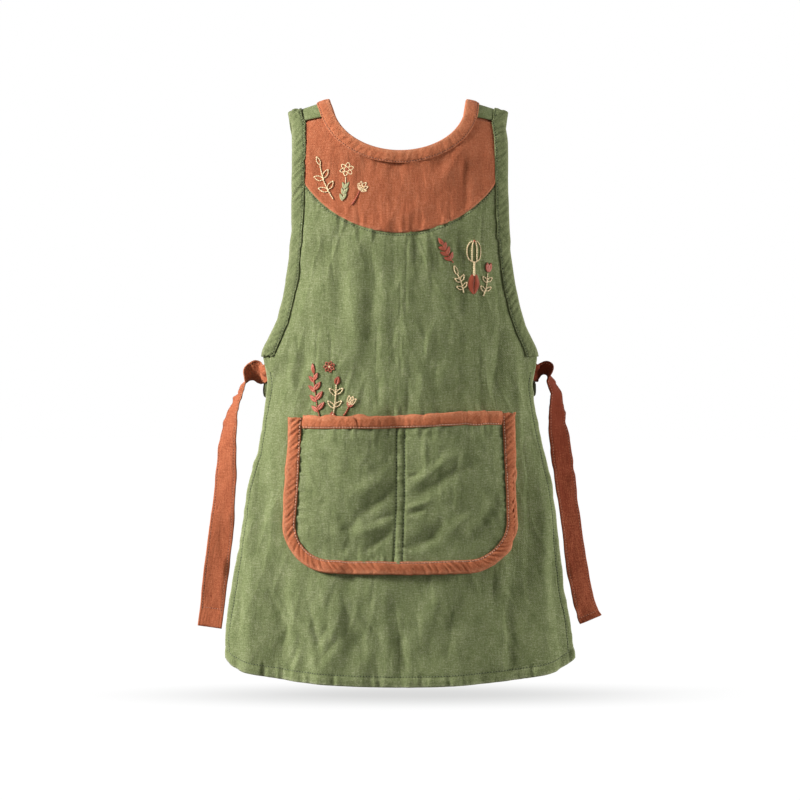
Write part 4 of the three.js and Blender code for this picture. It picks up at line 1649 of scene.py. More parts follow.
@dataclass
class Pocket:
    """The wide pocket, bound all round and divided by two rows of stitches.

    Attributes:
        form: The form that it lies over.
        finishes: The materials.
        top: Shoulder line to its top edge.
        height: Its height.
        top_half: Middle to side edge at the top.
        bottom_half: The same above the round corners.
        corner: Radius of the bottom corners.
        slack: How far each compartment stands off the apron.
        trim: Width of its bindings.
        lay: How far its cloth lies over the apron's.
        tilt: How much its right end stands higher, as a slope.
        bow: How much higher its bottom edge lies at the sides.
        shift: How far its middle lies to the right.
        sag: How far its top edge hangs through.
        sag_left: How far left of the middle it hangs lowest.
        sag_spread: How wide it hangs.
        divider: Where the two rows of stitches run.
    """

    form: ApronForm
    finishes: Finishes
    top: float = 311
    height: float = 157
    top_half: float = 109
    bottom_half: float = 115
    corner: float = 47
    slack: float = 8
    trim: float = 11.5
    lay: float = 3.8
    tilt: float = 0.0155
    bow: float = 4
    shift: float = 2
    sag: float = 3.2
    sag_left: float = 35
    sag_spread: float = 75
    divider: tuple[float, float] = (-5.3, 2.6)
    gathers = SmoothNoise(61, 3.2, 13)
    crumple = SmoothNoise(62, 13, 17)
    rumple = SmoothNoise(63, 6, 8)

    # Creases. Columns as in the form's.
    creases = Rows(
        "x z x2 z2 wide stand keen",
        [
            (-4, -375, -34, -408, 6.5, -1.5, 2),
            (-28, -398, -56, -430, 6, -0.9, 2),
            (-14, -372, -50, -392, 7, 1.4, 2),
            (-6, -424, -36, -448, 5, -1.2, 1.8),
            (-6, -410, -26, -416, 3, -0.8, 1.7),
            (-8, -416, -44, -430, 5, 1.0, 2),
            (4, -398, 72, -352, 9, -1.7, 2),
            (6, -386, 60, -346, 6, 1.1, 2),
            (4, -410, 24, -405, 2.6, -0.9, 1.6),
            (4, -404, 30, -396, 3, 0.8, 1.7),
            (4, -374, 18, -369, 2.6, -0.8, 1.7),
            (4, -446, 52, -420, 7, -1.5, 2),
            (34, -432, 86, -404, 7, 1.3, 2),
            (60, -444, 96, -392, 8, -1.1, 2),
            (22, -326, 23, -376, 2.2, 0.6, 1.6),
            (54, -336, 53, -420, 2.4, 0.5, 1.7),
            (-96, -352, -80, -398, 4.5, 0.9, 1.8),
            (-104, -340, -66, -352, 5, 0.7, 2),
            (-90, -420, -52, -440, 6, 0.9, 2),
            (-70, -340, -72, -372, 6, -0.6, 2),
            (98, -330, 104, -372, 4, -0.8, 2),
        ],
    )

    def half(self, z: Array) -> Array:
        """Half width at heights."""
        start = self.top + self.height - self.corner
        down = np.clip((-z - self.top) / (start - self.top), 0, 1)
        side = lerp(self.top_half, self.bottom_half, down)
        into = np.clip(-z - start, 0, self.corner)
        return side - self.corner + np.sqrt(np.maximum(self.corner**2 - into**2, 0))

    def stand(self, x: Array, z: Array) -> Array:
        """How far each compartment stands off the apron."""
        inner = self.half(z) - self.trim
        across = np.clip(np.abs(x) / inner, 0, 1)
        down = np.clip((-z - self.top) / (self.height - self.trim), 0, 1)
        full = np.sin(math.pi * across) ** 1.2
        return self.slack * full * np.maximum(np.cos(math.pi / 2 * down), 0) ** 1.2

    def ripple(self, x: Array, z: Array) -> Array:
        """How far creases and sewing push the pocket's cloth out."""
        total = 2 * creased(self.creases, x, z)
        total = total + 0.9 * self.crumple.at(x + 0.6 * z, z) + 0.35 * self.rumple.at(x, z)
        inner = self.half(z) - self.trim
        beside = np.maximum(inner - np.abs(x), 0)
        below = np.maximum(-z - self.top - self.trim, 0)
        above = np.maximum(z + self.top + self.height - self.trim, 0)
        calm = smoothstep(np.minimum(np.minimum(beside, above), below), 0, 12)
        top = 1.9 * self.gathers.at(x, z) * np.exp(-below / 9) * (0.35 + 0.65 * bell(x, 60))
        bottom = 1.5 * self.gathers.at(x + 50, z) * np.exp(-above / 8) * bell(x + 35, 50)
        sides = 1.1 * self.gathers.at(z, x * 0.2) * np.exp(-beside / 7)
        divider = self.gathers.at(z * 0.9, np.abs(x) * 0.4) * np.exp(-np.abs(x) / 8)
        left, right = (bell(x - row, 1.2) for row in self.divider)
        rows = -1.2 * left - 1.2 * right + 0.4 * bell(x + 1.3, 2.2)
        return total * calm + top + bottom + sides + divider + rows

    def point(self, x: Array, z: Array, out: Array) -> Array:
        """Points over the apron, seen from before it.

        Args:
            x: Distances from the middle.
            z: Heights.
            out: Distances out of the pocket's cloth.

        Returns:
            One point for each.
        """
        down = np.clip((-z - self.top) / self.height, 0, 1)
        bowed = self.bow * (x / self.bottom_half) ** 2 * down**2
        hung = self.sag * bell(x + self.sag_left, self.sag_spread) * (1 - down) ** 3
        raised = z + self.tilt * x * (1 - down) + bowed - hung
        share = self.form.share_at(x + self.shift, z)
        return self.form.cloth(share, raised, self.lay + self.stand(x, z) + out)

    def edge(self, t: Array) -> tuple[Array, Array, Array, Array]:
        """Points and directions of the outline from one top corner to the other.

        Args:
            t: -1 at the top left, 0 at the bottom's middle, 1 at the top right.

        Returns:
            x, z, the angle that the outline has turned, and the side.
        """
        start = self.top + self.height - self.corner
        turn = math.pi * self.corner / 2
        straight, flat = start - self.top, self.bottom_half - self.corner
        gone = (1 - np.abs(t)) * (straight + turn + flat)
        side = np.where(t < 0, -1.0, 1.0)
        angle = np.clip((gone - straight) / self.corner, 0, math.pi / 2)
        rest = np.maximum(gone - straight - turn, 0)
        down = np.clip(gone / straight, 0, 1)
        upper = gone < straight
        x = np.where(
            upper,
            lerp(self.top_half, self.bottom_half, down),
            flat - rest + self.corner * np.cos(angle),
        )
        z = np.where(upper, -self.top - gone, -start - self.corner * np.sin(angle))
        return side * x, z, angle, side

    def lay_side(self, t: Array, inwards: Array, out: Array) -> Array:
        """Points beside the outline."""
        x, z, angle, side = self.edge(t)
        return self.point(x - side * inwards * np.cos(angle), z + inwards * np.sin(angle), out)

    def lay_top(self, x: Array, inwards: Array, out: Array) -> Array:
        """Points beside the top edge."""
        return self.point(x, -self.top - inwards, out)

    def place(self, u: Array, v: Array, out: Array) -> Array:
        """Points of the pocket's outer face."""
        z = -lerp(self.top, self.top + self.height - 0.4, v)
        x = u * self.half(z)
        return self.point(x, z, out + self.ripple(x, z))

    def sew_divider(self) -> bpy.types.Object:
        """Sew the two rows down the middle, and the corners of the top."""
        thread = Thread("pocket_divider_stitches", self.finishes.green_thread)
        z = np.linspace(-self.top - self.trim, -self.top - self.height + self.trim, 300)
        for place in self.divider:
            x = np.full(z.shape, place)
            height = self.ripple(x, z) + 0.3
            line = self.point(x, z, height)
            thread.follow(line, self.point(x, z, height + 1) - line, DIVIDER_SEAM)
        return thread.build(Slot.GREEN)

    def build(self) -> None:
        """Make the pocket, its bindings and stitches."""
        finishes = self.finishes
        fine = np.concatenate([spaced(0, 0.12, 0.008), spaced(0.12, 1, 0.0115)[1:]])
        columns = np.concatenate([-fine[:0:-1], fine])
        piece = Sheet("pocket_panel_cloth", columns, spaced(0, 1, 0.0085), self.place, 1.1, upright=True)
        hand_over(piece.build(), finishes.green, [self.sew_divider()])
        stations = spaced(-1, 1, 0.0055)
        name = "pocket_side_binding_cloth"
        side = Binding(name, self.trim, stations, self.lay_side, 71, 0.85, 1.5, 3.2, worn=-0.05)
        thread = Thread("pocket_side_stitches", finishes.pale_rust_thread)
        bind(side, thread, Slot.RUST_TRIM, finishes.rust_trim, back=False, inset=1.4)
        reach = self.top_half - self.trim - self.form.seam_gap
        across = spaced(-reach, reach, 1.3)
        name = "pocket_top_binding_cloth"
        top = Binding(name, self.trim, across, self.lay_top, 81, 0.1, 0.6, 3.6, worn=-0.1)
        thread = Thread("pocket_top_stitches", finishes.pale_rust_thread)
        bind(top, thread, Slot.RUST_TRIM, finishes.rust_trim, back=False, inset=1.3)


@dataclass
class Tie:
    """A tie sewn inside a side edge under an armhole, hanging free from there.

    Attributes:
        form: The form that it is sewn to.
        finishes: The materials.
        side: The side edge.
        width: Its width.
        linen: Thickness of its two layers.
        seat: Its centre line under the underarm corner.
        depth: How far inside the panel's face it is sewn.
        drop: From there down to its free end.
        reach: How far out of the side edge its end hangs.
        stand: How far behind the side edge it hangs.
        loose: Length from its sewn end from which it hangs loose.
        ruffle: How far it ripples and bends there.
        gather: How much narrower it is bunched beside the armhole.
        dip: How far it sags there.
        seam: Share of its half width at which its edges are sewn.
        hem: Length of its end's hem.
    """

    form: ApronForm
    finishes: Finishes
    side: Side
    width: float = 26
    linen: float = 2.2
    seat: float = 14.5
    depth: float = 4.6
    drop: float = 258
    reach: float = 62
    stand: float = 12
    loose: float = 70
    ruffle: float = 1.5
    gather: float = 0.32
    dip: float = 4
    seam: float = 0.8
    hem: float = 6.5
    ripples = SmoothNoise(91, 7, 9)
    bends = SmoothNoise(92, 19, 6)

    # Centre lines from the side edge to the free end, and the lie of the width.
    # out, back, down: shares of the reach, stand and drop. x, y, z: direction across.
    routes = {
        Side.LEFT: Rows(
            "out back down x y z",
            [
                (0.13, 0.75, 0.003, 0.1, 0.2, -0.97),
                (0.22, 0.95, 0.012, 0.2, 0.42, -0.87),
                (0.31, 1.1, 0.024, 0.32, 0.62, -0.68),
                (0.39, 1.15, 0.045, 0.35, 0.8, -0.45),
                (0.455, 1.15, 0.07, 0.28, 0.94, -0.15),
                (0.505, 1.1, 0.095, 0.23, 0.97, 0),
                (0.545, 1.05, 0.12, 0.3, 0.95, 0),
                (0.6, 1, 0.16, 0.43, 0.9, 0),
                (0.64, 0.9, 0.22, 0.57, 0.82, 0),
                (0.68, 0.85, 0.32, 0.7, 0.71, 0),
                (0.71, 0.8, 0.46, 0.85, 0.53, 0),
                (0.77, 0.8, 0.62, 0.93, 0.37, 0),
                (0.85, 0.8, 0.79, 0.97, 0.24, 0),
                (0.955, 0.8, 1, 0.93, 0.3, 0),
            ],
        ),
        Side.RIGHT: Rows(
            "out back down x y z",
            [
                (0.1, 0.7, -0.006, 0.1, 0.15, -0.97),
                (0.2, 0.95, 0.002, 0.35, 0.5, -0.78),
                (0.27, 1.1, 0.022, 0.45, 0.65, -0.6),
                (0.335, 1.15, 0.054, 0.5, 0.75, -0.42),
                (0.385, 1.15, 0.085, 0.48, 0.85, -0.18),
                (0.395, 1.1, 0.118, 0.5, 0.86, 0),
                (0.39, 1.05, 0.15, 0.6, 0.8, 0),
                (0.395, 1, 0.185, 0.7, 0.71, 0),
                (0.42, 0.9, 0.24, 0.77, 0.64, 0),
                (0.46, 0.85, 0.305, 0.8, 0.6, 0),
                (0.505, 0.8, 0.375, 0.82, 0.57, 0),
                (0.555, 0.75, 0.455, 0.82, 0.57, 0),
                (0.625, 0.7, 0.58, 0.82, 0.57, 0),
                (0.715, 0.7, 0.74, 0.83, 0.56, 0),
                (0.8, 0.7, 0.85, 0.86, 0.51, 0),
                (0.88, 0.7, 0.92, 0.88, 0.47, 0),
                (0.96, 0.7, 0.97, 0.9, 0.43, 0),
            ],
        ),
    }

    def __post_init__(self) -> None:
        """Lay the tie's route and the turn of its width."""
        side, form = float(self.side.value), self.form
        shares = side * np.array([0.88, 0.96, 1.04, 1])
        z = np.full(4, -form.underarm_drop - self.seat)
        sewn = form.cloth(shares, z, np.full(4, -self.depth))
        upright = -unit(form.frame(shares, z)[1])
        edge, rows = sewn[3], self.routes[self.side]
        hanging = edge + np.stack(
            [side * rows["out"] * self.reach, rows["back"] * self.stand, -rows["down"] * self.drop],
            axis=-1,
        )
        lies = np.stack([side * rows["x"], rows["y"], rows["z"]], axis=-1)
        self.route = Route(np.vstack([sewn[:3], hanging]))
        self.lies = Route(np.vstack([upright[:3], lies]))

    def place(self, u: Array, t: Array, out: Array) -> Array:
        """Points of the middle of the tie's cloth."""
        point, lie = self.route.at(t), self.lies.at(t)
        along = unit(self.route.at(np.minimum(t + 0.002, 1)) - self.route.at(np.maximum(t - 0.002, 0)))
        across = unit(lie - along * dot(lie, along)[..., None])
        normal = unit(np.cross(across, along))
        gone = t * self.route.length
        rippled = self.ruffle * self.ripples.at(gone, u * 9) * (0.5 + 0.5 * np.abs(u))
        soft = rippled * smoothstep(gone, self.loose, self.loose + 35)
        bent = self.ruffle * self.bends.at(gone + 6 * u, u * 5)
        soft = soft + bent * smoothstep(gone, self.loose, self.loose + 50)
        curl = 0.9 * (u**2) * np.sin(gone / 37)
        bunched = smoothstep(gone, 12, 22) * (1 - smoothstep(gone, 44, 64))
        half = self.width / 2 * (1 - self.gather * bunched) + 0.25 * self.ripples.at(gone + 90, 0 * u)
        lifted = soft + curl + 0.9 * bunched * np.cos(5.5 * u + gone / 9) + out
        spot = point + across * (u * half)[..., None] + normal * lifted[..., None]
        spot[..., 2] -= self.dip * bell(gone - 40, 12)
        return spot

    def thick(self, u: Array, t: Array) -> Array:
        """Share of the thickness: pressed edges, and dips along the stitches."""
        edge = 0.65 * bell((1 - np.abs(u)) * self.width / 2, 0.8)
        sewn = 0.35 * bell((self.seam - np.abs(u)) * self.width / 2, 0.9)
        end = 0.4 * bell((1 - t) * self.route.length - self.hem, 0.9)
        return np.clip(1 - edge - sewn - end, 0.2, 1)

    def wear(self, u: Array, t: Array) -> Array:
        """Pale worn pressed edges, and painted shade: the right tie darker along its length, most near
        its sewn end, and the left darker towards its free end.
        """
        # Painted shade: negative values darken the right tie, and the left tie's lower end, where they
        # hang in shade.
        deep = -2.0 * (1 - 0.7 * t) if self.side is Side.RIGHT else -0.25 * smoothstep(t, 0.2, 0.9)
        return deep + 0.45 * bell((1 - np.abs(u)) * self.width / 2, 0.9)

    def build(self) -> bpy.types.Object:
        """Make the tie and its stitches."""
        outer = spaced(0.7, 1, 0.05)
        columns = np.concatenate([-outer[::-1], spaced(-0.7, 0.7, 0.1)[1:-1], outer])
        rows = np.concatenate([spaced(0, 0.97, 0.0042), spaced(0.97, 1, 0.0025)[1:]])
        name = f"tie_{self.side.word}_cloth"
        piece = Sheet(
            name, columns, rows, self.place, self.linen, centred=True, thick=self.thick, wear=self.wear
        ).build()
        thread = Thread(f"tie_stitches_{self.side.word}", self.finishes.rust_thread)
        t = np.linspace(0.16, 0.985, 900)
        across = np.linspace(-self.seam, self.seam, 60)
        end = np.full(across.shape, 1 - self.hem / self.route.length)
        edges = [(np.full(t.shape, u), t) for u in (-self.seam, self.seam)]
        for face in (-1, 1):
            for u, along in (*edges, (across, end)):
                line = self.place(u, along, np.full(u.shape, face * 0.8))
                out = self.place(u, along, np.full(u.shape, face * 2.0)) - line
                thread.follow(line, out, TIE_SEAM)
        return hand_over(piece, self.finishes.rust, [thread.build(Slot.RUST)])


class Silk(Enum):
    """Colours of the embroidery."""

    CREAM = "cream"
    RED = "red"
    LEAF = "leaf"


@dataclass
class Needlework:
    """Draws embroidery in the plane before the apron and lays its stitches on the cloth.

    Attributes:
        form: The form that it is laid over.
        threads: The thread of each colour.
        width: Width of a strand.
        lift: How far its middle stands over the form.
    """

    form: ApronForm
    threads: dict[Silk, Thread]
    width: float = 1.45
    lift: float = 0.8

    def stitch(self, silk: Silk, starts: Array, ends: Array, width: float = 1.0) -> None:
        """Lay straight stitches.

        Args:
            silk: Their colour.
            starts: Where they begin, as x and z.
            ends: Where they end.
            width: Their width, as a share of a strand's.
        """
        form = self.form
        laid = []
        for spots in (starts, ends):
            x, z = spots[:, 0], spots[:, 1]
            share = form.share_at(x, z)
            laid.append(form.cloth(share, z, np.full(x.shape, self.lift)))
        out = form.frame(form.share_at(starts[:, 0], starts[:, 1]), starts[:, 1])[2]
        self.threads[silk].add(laid[0], laid[1], out, self.width * width)

    def line(self, silk: Silk, points: Array, width: float = 1.0, step: float = 2.1) -> None:
        """Sew a line of back stitches through points."""
        gone = np.append(0, np.cumsum(np.linalg.norm(np.diff(points, axis=0), axis=1)))
        count = max(2, round(gone[-1] / step) + 1)
        where = np.linspace(0, gone[-1], count)
        spots = np.stack([np.interp(where, gone, points[:, axis]) for axis in (0, 1)], axis=-1)
        self.stitch(silk, spots[:-1], spots[1:], width)

    def stem(self, silk: Silk, start: Array, end: Array, bow: float, width: float = 1.0) -> Callable:
        """Sew a bowed stem.

        Args:
            silk: Its colour.
            start: Its lower end.
            end: Its upper end.
            bow: How far its middle bows to its right.
            width: Its width, as a share of a strand's.

        Returns:
            A function that gives points of the stem.
        """
        along = end - start
        right = np.array([along[1], -along[0]]) / np.hypot(*along)

        def at(share: float) -> Array:
            """A point of the stem, from 0 at its lower end to 1 at its upper."""
            return start + along * share + right * bow * 4 * share * (1 - share)

        self.line(silk, np.array([at(share) for share in np.linspace(0, 1, 16)]), width)
        return at

    @staticmethod
    def heading(angle: float) -> tuple[Array, Array]:
        """Directions along and across, for an angle to the right of upright, in degrees."""
        turn = math.radians(angle)
        return np.array([math.sin(turn), math.cos(turn)]), np.array([math.cos(turn), -math.sin(turn)])

    def open_leaf(self, silk: Silk, base: Array, angle: float, length: float, width: float) -> None:
        """Sew a leaf in outline."""
        along, across = self.heading(angle)
        share = np.linspace(0, 1, 12)[:, None]
        for side in (-0.5, 0.5):
            bulge = side * width * np.sin(math.pi * share**0.85)
            self.line(silk, base + along * length * share + across * bulge, 0.85, 1.9)

    def full_leaf(self, silk: Silk, base: Array, angle: float, length: float, width: float) -> None:
        """Fill a leaf with slanting satin stitches from its midrib."""
        along, across = self.heading(angle)
        count = max(4, round(length / 0.72))
        share = np.linspace(0, 0.86, count)[:, None]
        reach = np.minimum(share + 0.26, 1)
        for side in (-0.5, 0.5):
            bulge = side * width * np.sin(math.pi * reach**0.9) ** 0.8
            starts = base + along * length * share
            self.stitch(silk, starts, base + along * length * reach + across * bulge, 0.9)

    def flower(self, silk: Silk, centre: Array, radius: float, petals: int, heart: Silk) -> None:
        """Sew a flower of looped petals round a knotted heart."""
        for number in range(petals):
            angle = 360 * number / petals + 14
            along, _ = self.heading(angle)
            self.open_leaf(silk, centre + along * radius * 0.28, angle, radius * 0.78, radius * 0.58)
        knots = np.array([centre + 0.6 * self.heading(turn)[0] for turn in range(0, 360, 90)])
        self.stitch(heart, knots - 0.3, knots + 0.3, 1.0)

    def fork(self, silk: Silk, foot: Array, handle: float, head: float, half: float) -> None:
        """Sew a hand fork standing upright.

        Args:
            silk: Its colour.
            foot: Lower end of its handle.
            handle: Length of the handle.
            head: Height of its head.
            half: Half width of the head.
        """
        neck = foot + np.array([0, handle])
        self.line(silk, np.array([foot, neck]), 1.5)
        turn = np.linspace(-1, 1, 15)
        cup = np.stack([half * np.sin(turn * 1.5), 0.4 * head * (1 - np.cos(turn * 1.5))], axis=-1)
        self.line(silk, neck + cup, 0.9, 1.7)
        for share in (-1, -0.34, 0.34, 1):
            low = 0.38 * head * share**2
            x, z = share * half, [low, 0.68 * head, 0.9 * head, head]
            tine = np.stack([x * np.array([1, 1, 0.7, 0.3]), z], axis=-1)
            self.line(silk, neck + tine, 0.9, 1.9)

    def trowel(self, silk: Silk, top: Array, length: float, width: float) -> None:
        """Fill a trowel's blade that points down."""
        share = np.linspace(0, 1, round(length / 0.85))
        half = width / 2 * np.sin(math.pi * (0.12 + 0.88 * share)) ** 0.6
        z = top[1] - length * share
        for side in (-1, 1):
            starts = np.stack([0 * z + top[0], z + 0.4], axis=-1)
            ends = np.stack([top[0] + side * half, z - 0.5], axis=-1)
            self.stitch(silk, starts, ends, 0.85)


@dataclass
class Embroidery:
    """Sprigs, flowers and tools at three places, of a common country kind.

    Attributes:
        form: The form that it is laid over.
        finishes: The materials.
    """

    form: ApronForm
    finishes: Finishes

    # Pairs of leaves up a stem. at: share of the stem. length, width: of each leaf.
    # splay: degrees between a leaf and the stem.
    tall_leaves = Rows(
        "at length width splay",
        [(0.16, 10, 4.6, 48), (0.39, 10.5, 4.8, 46), (0.61, 10, 4.6, 44), (0.83, 8.5, 4.2, 38)],
    )
    open_leaves = Rows("at length width splay", [(0.27, 10.5, 4.6, 52), (0.6, 10.5, 4.6, 50)])
    small_leaves = Rows("at length width splay", [(0.22, 7.5, 3.4, 50), (0.62, 7.5, 3.4, 46)])
    pocket_leaves = Rows("at length width splay", [(0.26, 9.5, 3.6, 46), (0.66, 9.5, 3.6, 44)])
    short_leaves = Rows(
        "at length width splay",
        [(0.2, 7.5, 3.8, 44), (0.48, 8, 4, 42), (0.76, 7, 3.6, 38)],
    )

    def sprig(
        self,
        needle: Needlework,
        silk: Silk,
        run: tuple[float, float, float, float],
        leaves: Rows,
        filled: bool,
        bow: float = 1.5,
        tip: float = 8.0,
    ) -> None:
        """Sew a stem with pairs of leaves and one at its tip.

        Args:
            needle: What it is sewn with.
            silk: Its colour.
            run: x and z of the stem's foot and of its top.
            leaves: The leaves' places.
            filled: True for satin leaves, False for outlines.
            bow: How far the stem bows.
            tip: Length of the leaf at the top, 0 for none.
        """
        foot, top = np.array(run[:2]), np.array(run[2:])
        stem = needle.stem(silk, foot, top, bow)
        lean = math.degrees(math.atan2(*(top - foot)))
        draw = needle.full_leaf if filled else needle.open_leaf
        for row in leaves.each():
            for side in (-1, 1):
                angle = lean + side * row["splay"]
                place = stem(row["at"] + 0.02 * side)
                draw(silk, place, angle, row["length"], row["width"])
        if tip:
            draw(silk, top, lean - 2, tip, 3.6)

    def build(self) -> None:
        """Sew the three groups, each with its own threads."""
        kinds = {
            Silk.CREAM: self.finishes.cream_silk,
            Silk.RED: self.finishes.red_silk,
            Silk.LEAF: self.finishes.leaf_silk,
        }
        groups = {"yoke": self.sew_yoke, "chest": self.sew_chest, "pocket": self.sew_pocket}
        for place, sew in groups.items():
            threads = {silk: Thread(f"embroidery_{place}_{silk.value}", kinds[silk]) for silk in Silk}
            sew(Needlework(self.form, threads))
            for silk, thread in threads.items():
                if thread.runs:
                    slot = Slot.GREEN if silk is Silk.LEAF else Slot.RUST_TRIM
                    piece = thread.build(slot)
                    log.info("%s: %d stitches", piece.name, sum(len(run[0]) for run in thread.runs))

    def sew_yoke(self, needle: Needlework) -> None:
        """A leafy sprig, a flower and a bud on the left of the yoke."""
        self.sprig(needle, Silk.CREAM, (-66.5, -96, -80, -61), self.open_leaves, False, -2, 9)
        stem = needle.stem(Silk.CREAM, np.array([-57.5, -98]), np.array([-54, -74]), 0.8, 0.8)
        for share, side in ((0.02, -1), (0.06, 1), (0.26, -1), (0.3, 1), (0.5, -1), (0.54, 1)):
            needle.full_leaf(Silk.LEAF, stem(share), 8 + side * 26, 7.5, 2.8)
        needle.flower(Silk.CREAM, np.array([-53, -66]), 6.8, 6, Silk.RED)
        needle.stem(Silk.RED, np.array([-48, -102]), np.array([-40, -87]), 0.6, 1.4)
        for turn, size in ((-42, 7), (-16, 9), (14, 10), (44, 9), (72, 7)):
            needle.open_leaf(Silk.CREAM, np.array([-40, -87]), 26 + turn, size, size * 0.42)

    def sew_chest(self, needle: Needlework) -> None:
        """A satin sprig, a leaf, a fork with a trowel's blade and a bud on the right."""
        self.sprig(needle, Silk.RED, (53, -160, 42.5, -142), self.short_leaves, True, -1, 8)
        self.sprig(needle, Silk.CREAM, (64, -190, 57.5, -172), self.small_leaves, False, 1, 10)
        needle.fork(Silk.CREAM, np.array([73, -173]), 14, 21, 6.2)
        needle.stitch(Silk.RED, np.array([[72.2, -138.5]]), np.array([[73.6, -138]]), 1.7)
        needle.trowel(Silk.RED, np.array([73, -172]), 19, 11)
        self.sprig(needle, Silk.CREAM, (82.5, -193, 87, -170), self.small_leaves, False, 1, 0)
        for turn in (-1, 1):
            needle.full_leaf(Silk.RED, np.array([87.5, -169]), 4 + turn * 14, 10, 5)

    def sew_pocket(self, needle: Needlework) -> None:
        """A satin sprig, a flower over a leafy stem and a bud above the pocket."""
        self.sprig(needle, Silk.RED, (-79, -314, -85, -270), self.tall_leaves, True, -1.5, 10)
        self.sprig(needle, Silk.CREAM, (-66.5, -312, -63.5, -281), self.pocket_leaves, False, 0.6, 0)
        needle.flower(Silk.RED, np.array([-70, -263.5]), 5.4, 7, Silk.CREAM)
        needle.full_leaf(Silk.RED, np.array([-63.5, -281]), 18, 8.5, 5.5)
        needle.full_leaf(Silk.RED, np.array([-67, -314]), 0, 6, 5)
        needle.stem(Silk.RED, np.array([-56, -312]), np.array([-50.5, -302]), 0.6, 1.3)
        for side in (-1, 1):
            needle.full_leaf(Silk.RED, np.array([-50.5, -303]), 24 + side * 50, 4.5, 2.6)
        for turn in (-24, 0, 24):
            needle.open_leaf(Silk.CREAM, np.array([-50.5, -302]), 24 + turn, 10, 4)


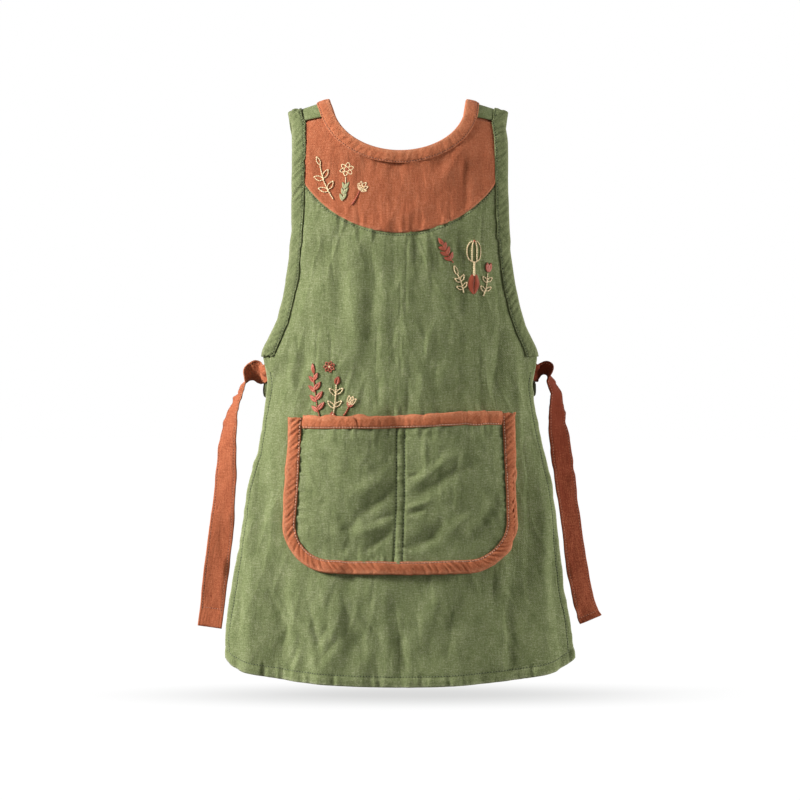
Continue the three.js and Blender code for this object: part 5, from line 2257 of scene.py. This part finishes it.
@dataclass
class Studio:
    """The camera, the pale floor and the soft light.

    Attributes:
        eye: Height of the camera, in metres.
        distance: From the camera to the shoulder line.
        frame_width: Width of the frame at the apron's front.
        floor: Height of the floor.
        shadow_wide: Half width of the soft shadow painted on it.
        shadow_deep: Half depth of that shadow.
        front: How far the apron's front stands before the shoulder line.
        sensor: Width of the camera's sensor, in millimetres.
        aim: Height that the lamps point at.
        sky: Strength of the light all round.
    """

    eye: float = -0.2965
    distance: float = 4.0
    frame_width: float = 0.8
    floor: float = -0.591
    shadow_wide: float = 0.23
    shadow_deep: float = 0.14
    front: float = 0.045
    sensor: float = 36
    aim: float = -0.3
    sky: float = 0.26

    # Soft lamps. x, y, z: place. width: size. power: watts.
    lamps = Rows(
        "x y z width power",
        [
            (-3.12, -0.98, 1.2, 0.9, 248),
            (2.95, -0.3, -0.35, 1.5, 122),
            (0.8, 2.8, 1.2, 2.4, 22),
        ],
    )

    def place_camera(self) -> None:
        """Set the camera level with the apron's middle, far off with a long lens."""
        lens = bpy.data.cameras.new("camera")
        lens.sensor_width = self.sensor
        lens.lens = self.sensor * (self.distance - self.front) / self.frame_width
        lens.clip_end = 60
        camera = bpy.data.objects.new("camera", lens)
        camera.location = (0, -self.distance, self.eye)
        camera.rotation_euler = (math.pi / 2, 0, 0)
        bpy.context.scene.collection.objects.link(camera)
        bpy.context.scene.camera = camera

    def lay_floor(self) -> None:
        """Lay a wide pale floor that glows white, with a soft shadow painted on it instead of one cast by
        the lamps.
        """
        plane = bmesh.new()
        bmesh.ops.create_grid(plane, x_segments=1, y_segments=1, size=25)
        bmesh.ops.translate(plane, verts=plane.verts, vec=(0, 0, self.floor))
        mesh = bpy.data.meshes.new("floor")
        plane.to_mesh(mesh)
        plane.free()
        graph = Graph("pale floor")
        where = graph.node("ShaderNodeTexCoord").outputs["Object"]
        parts = graph.node("ShaderNodeSeparateXYZ", None, {0: where}).outputs
        across = (Shade(graph, parts[0]) - 0.01) * (1 / self.shadow_wide)
        deep = (Shade(graph, parts[1]) + 0.05) * (1 / self.shadow_deep)
        # Painted shadow: the glow fades to grey in a soft ellipse under the apron.
        fade = math.e ** ((across * across + deep * deep) ** 1.3 * -1)
        glow = graph.mix(fade, (1, 1, 1, 1), (0.7, 0.7, 0.695, 1))
        values = {
            "Base Color": (0.02, 0.02, 0.02, 1),
            "Roughness": 1.0,
            "Specular IOR Level": 0.0,
            "Emission Color": glow,
            "Emission Strength": 1.0,
        }
        mesh.materials.append(graph.finish(values))
        floor = bpy.data.objects.new("floor", mesh)
        bpy.context.scene.collection.objects.link(floor)
        floor.visible_diffuse = floor.visible_glossy = False

    def light(self) -> None:
        """Hang the lamps and light the surroundings."""
        for number, row in enumerate(self.lamps.each()):
            lamp = bpy.data.lights.new(f"lamp_{number}", "AREA")
            lamp.size, lamp.energy = row["width"], row["power"]
            holder = bpy.data.objects.new(f"lamp_{number}", lamp)
            place = np.array([row["x"], row["y"], row["z"]])
            holder.location = place
            aim = np.array([0, 0, self.aim]) - place
            turn = math.atan2(aim[0], -aim[1])
            tilt = math.atan2(float(np.hypot(aim[0], aim[1])), -aim[2])
            holder.rotation_euler = (tilt, 0, turn + math.pi)
            bpy.context.scene.collection.objects.link(holder)
        world = bpy.data.worlds.new("surroundings")
        world.use_nodes = True
        tree = world.node_tree
        tree.nodes.clear()
        path = tree.nodes.new("ShaderNodeLightPath")
        strength = tree.nodes.new("ShaderNodeMix")
        strength.inputs[2].default_value, strength.inputs[3].default_value = self.sky, 1.0
        tree.links.new(path.outputs["Is Camera Ray"], strength.inputs[0])
        glow = tree.nodes.new("ShaderNodeBackground")
        glow.inputs[0].default_value = (1, 1, 1, 1)
        tree.links.new(strength.outputs[0], glow.inputs[1])
        sink = tree.nodes.new("ShaderNodeOutputWorld")
        tree.links.new(glow.outputs[0], sink.inputs[0])
        bpy.context.scene.world = world
        bpy.context.scene.view_settings.view_transform = "Standard"

    def build(self) -> None:
        """Set up the whole studio."""
        self.place_camera()
        self.lay_floor()
        self.light()


def main() -> None:
    """Build the studio and the apron's pieces in order."""
    logging.basicConfig(level=logging.INFO, format="%(name)s: %(message)s")
    Studio().build()
    form, finishes = ApronForm(), Finishes.mixed()
    runs = {side: StrapRun(form, side) for side in Side}
    BodyPanel(form, finishes).build()
    Yoke(form, finishes).build()
    for side in Side:
        ShoulderStrap(runs[side], finishes).build()
    bindings = EdgeBindings(form, finishes, runs)
    bindings.build_neck()
    for side in Side:
        bindings.build_armhole(side)
    Pocket(form, finishes).build()
    for side in Side:
        Tie(form, finishes, side).build()
    Embroidery(form, finishes).build()


if __name__ == "__main__":
    main()
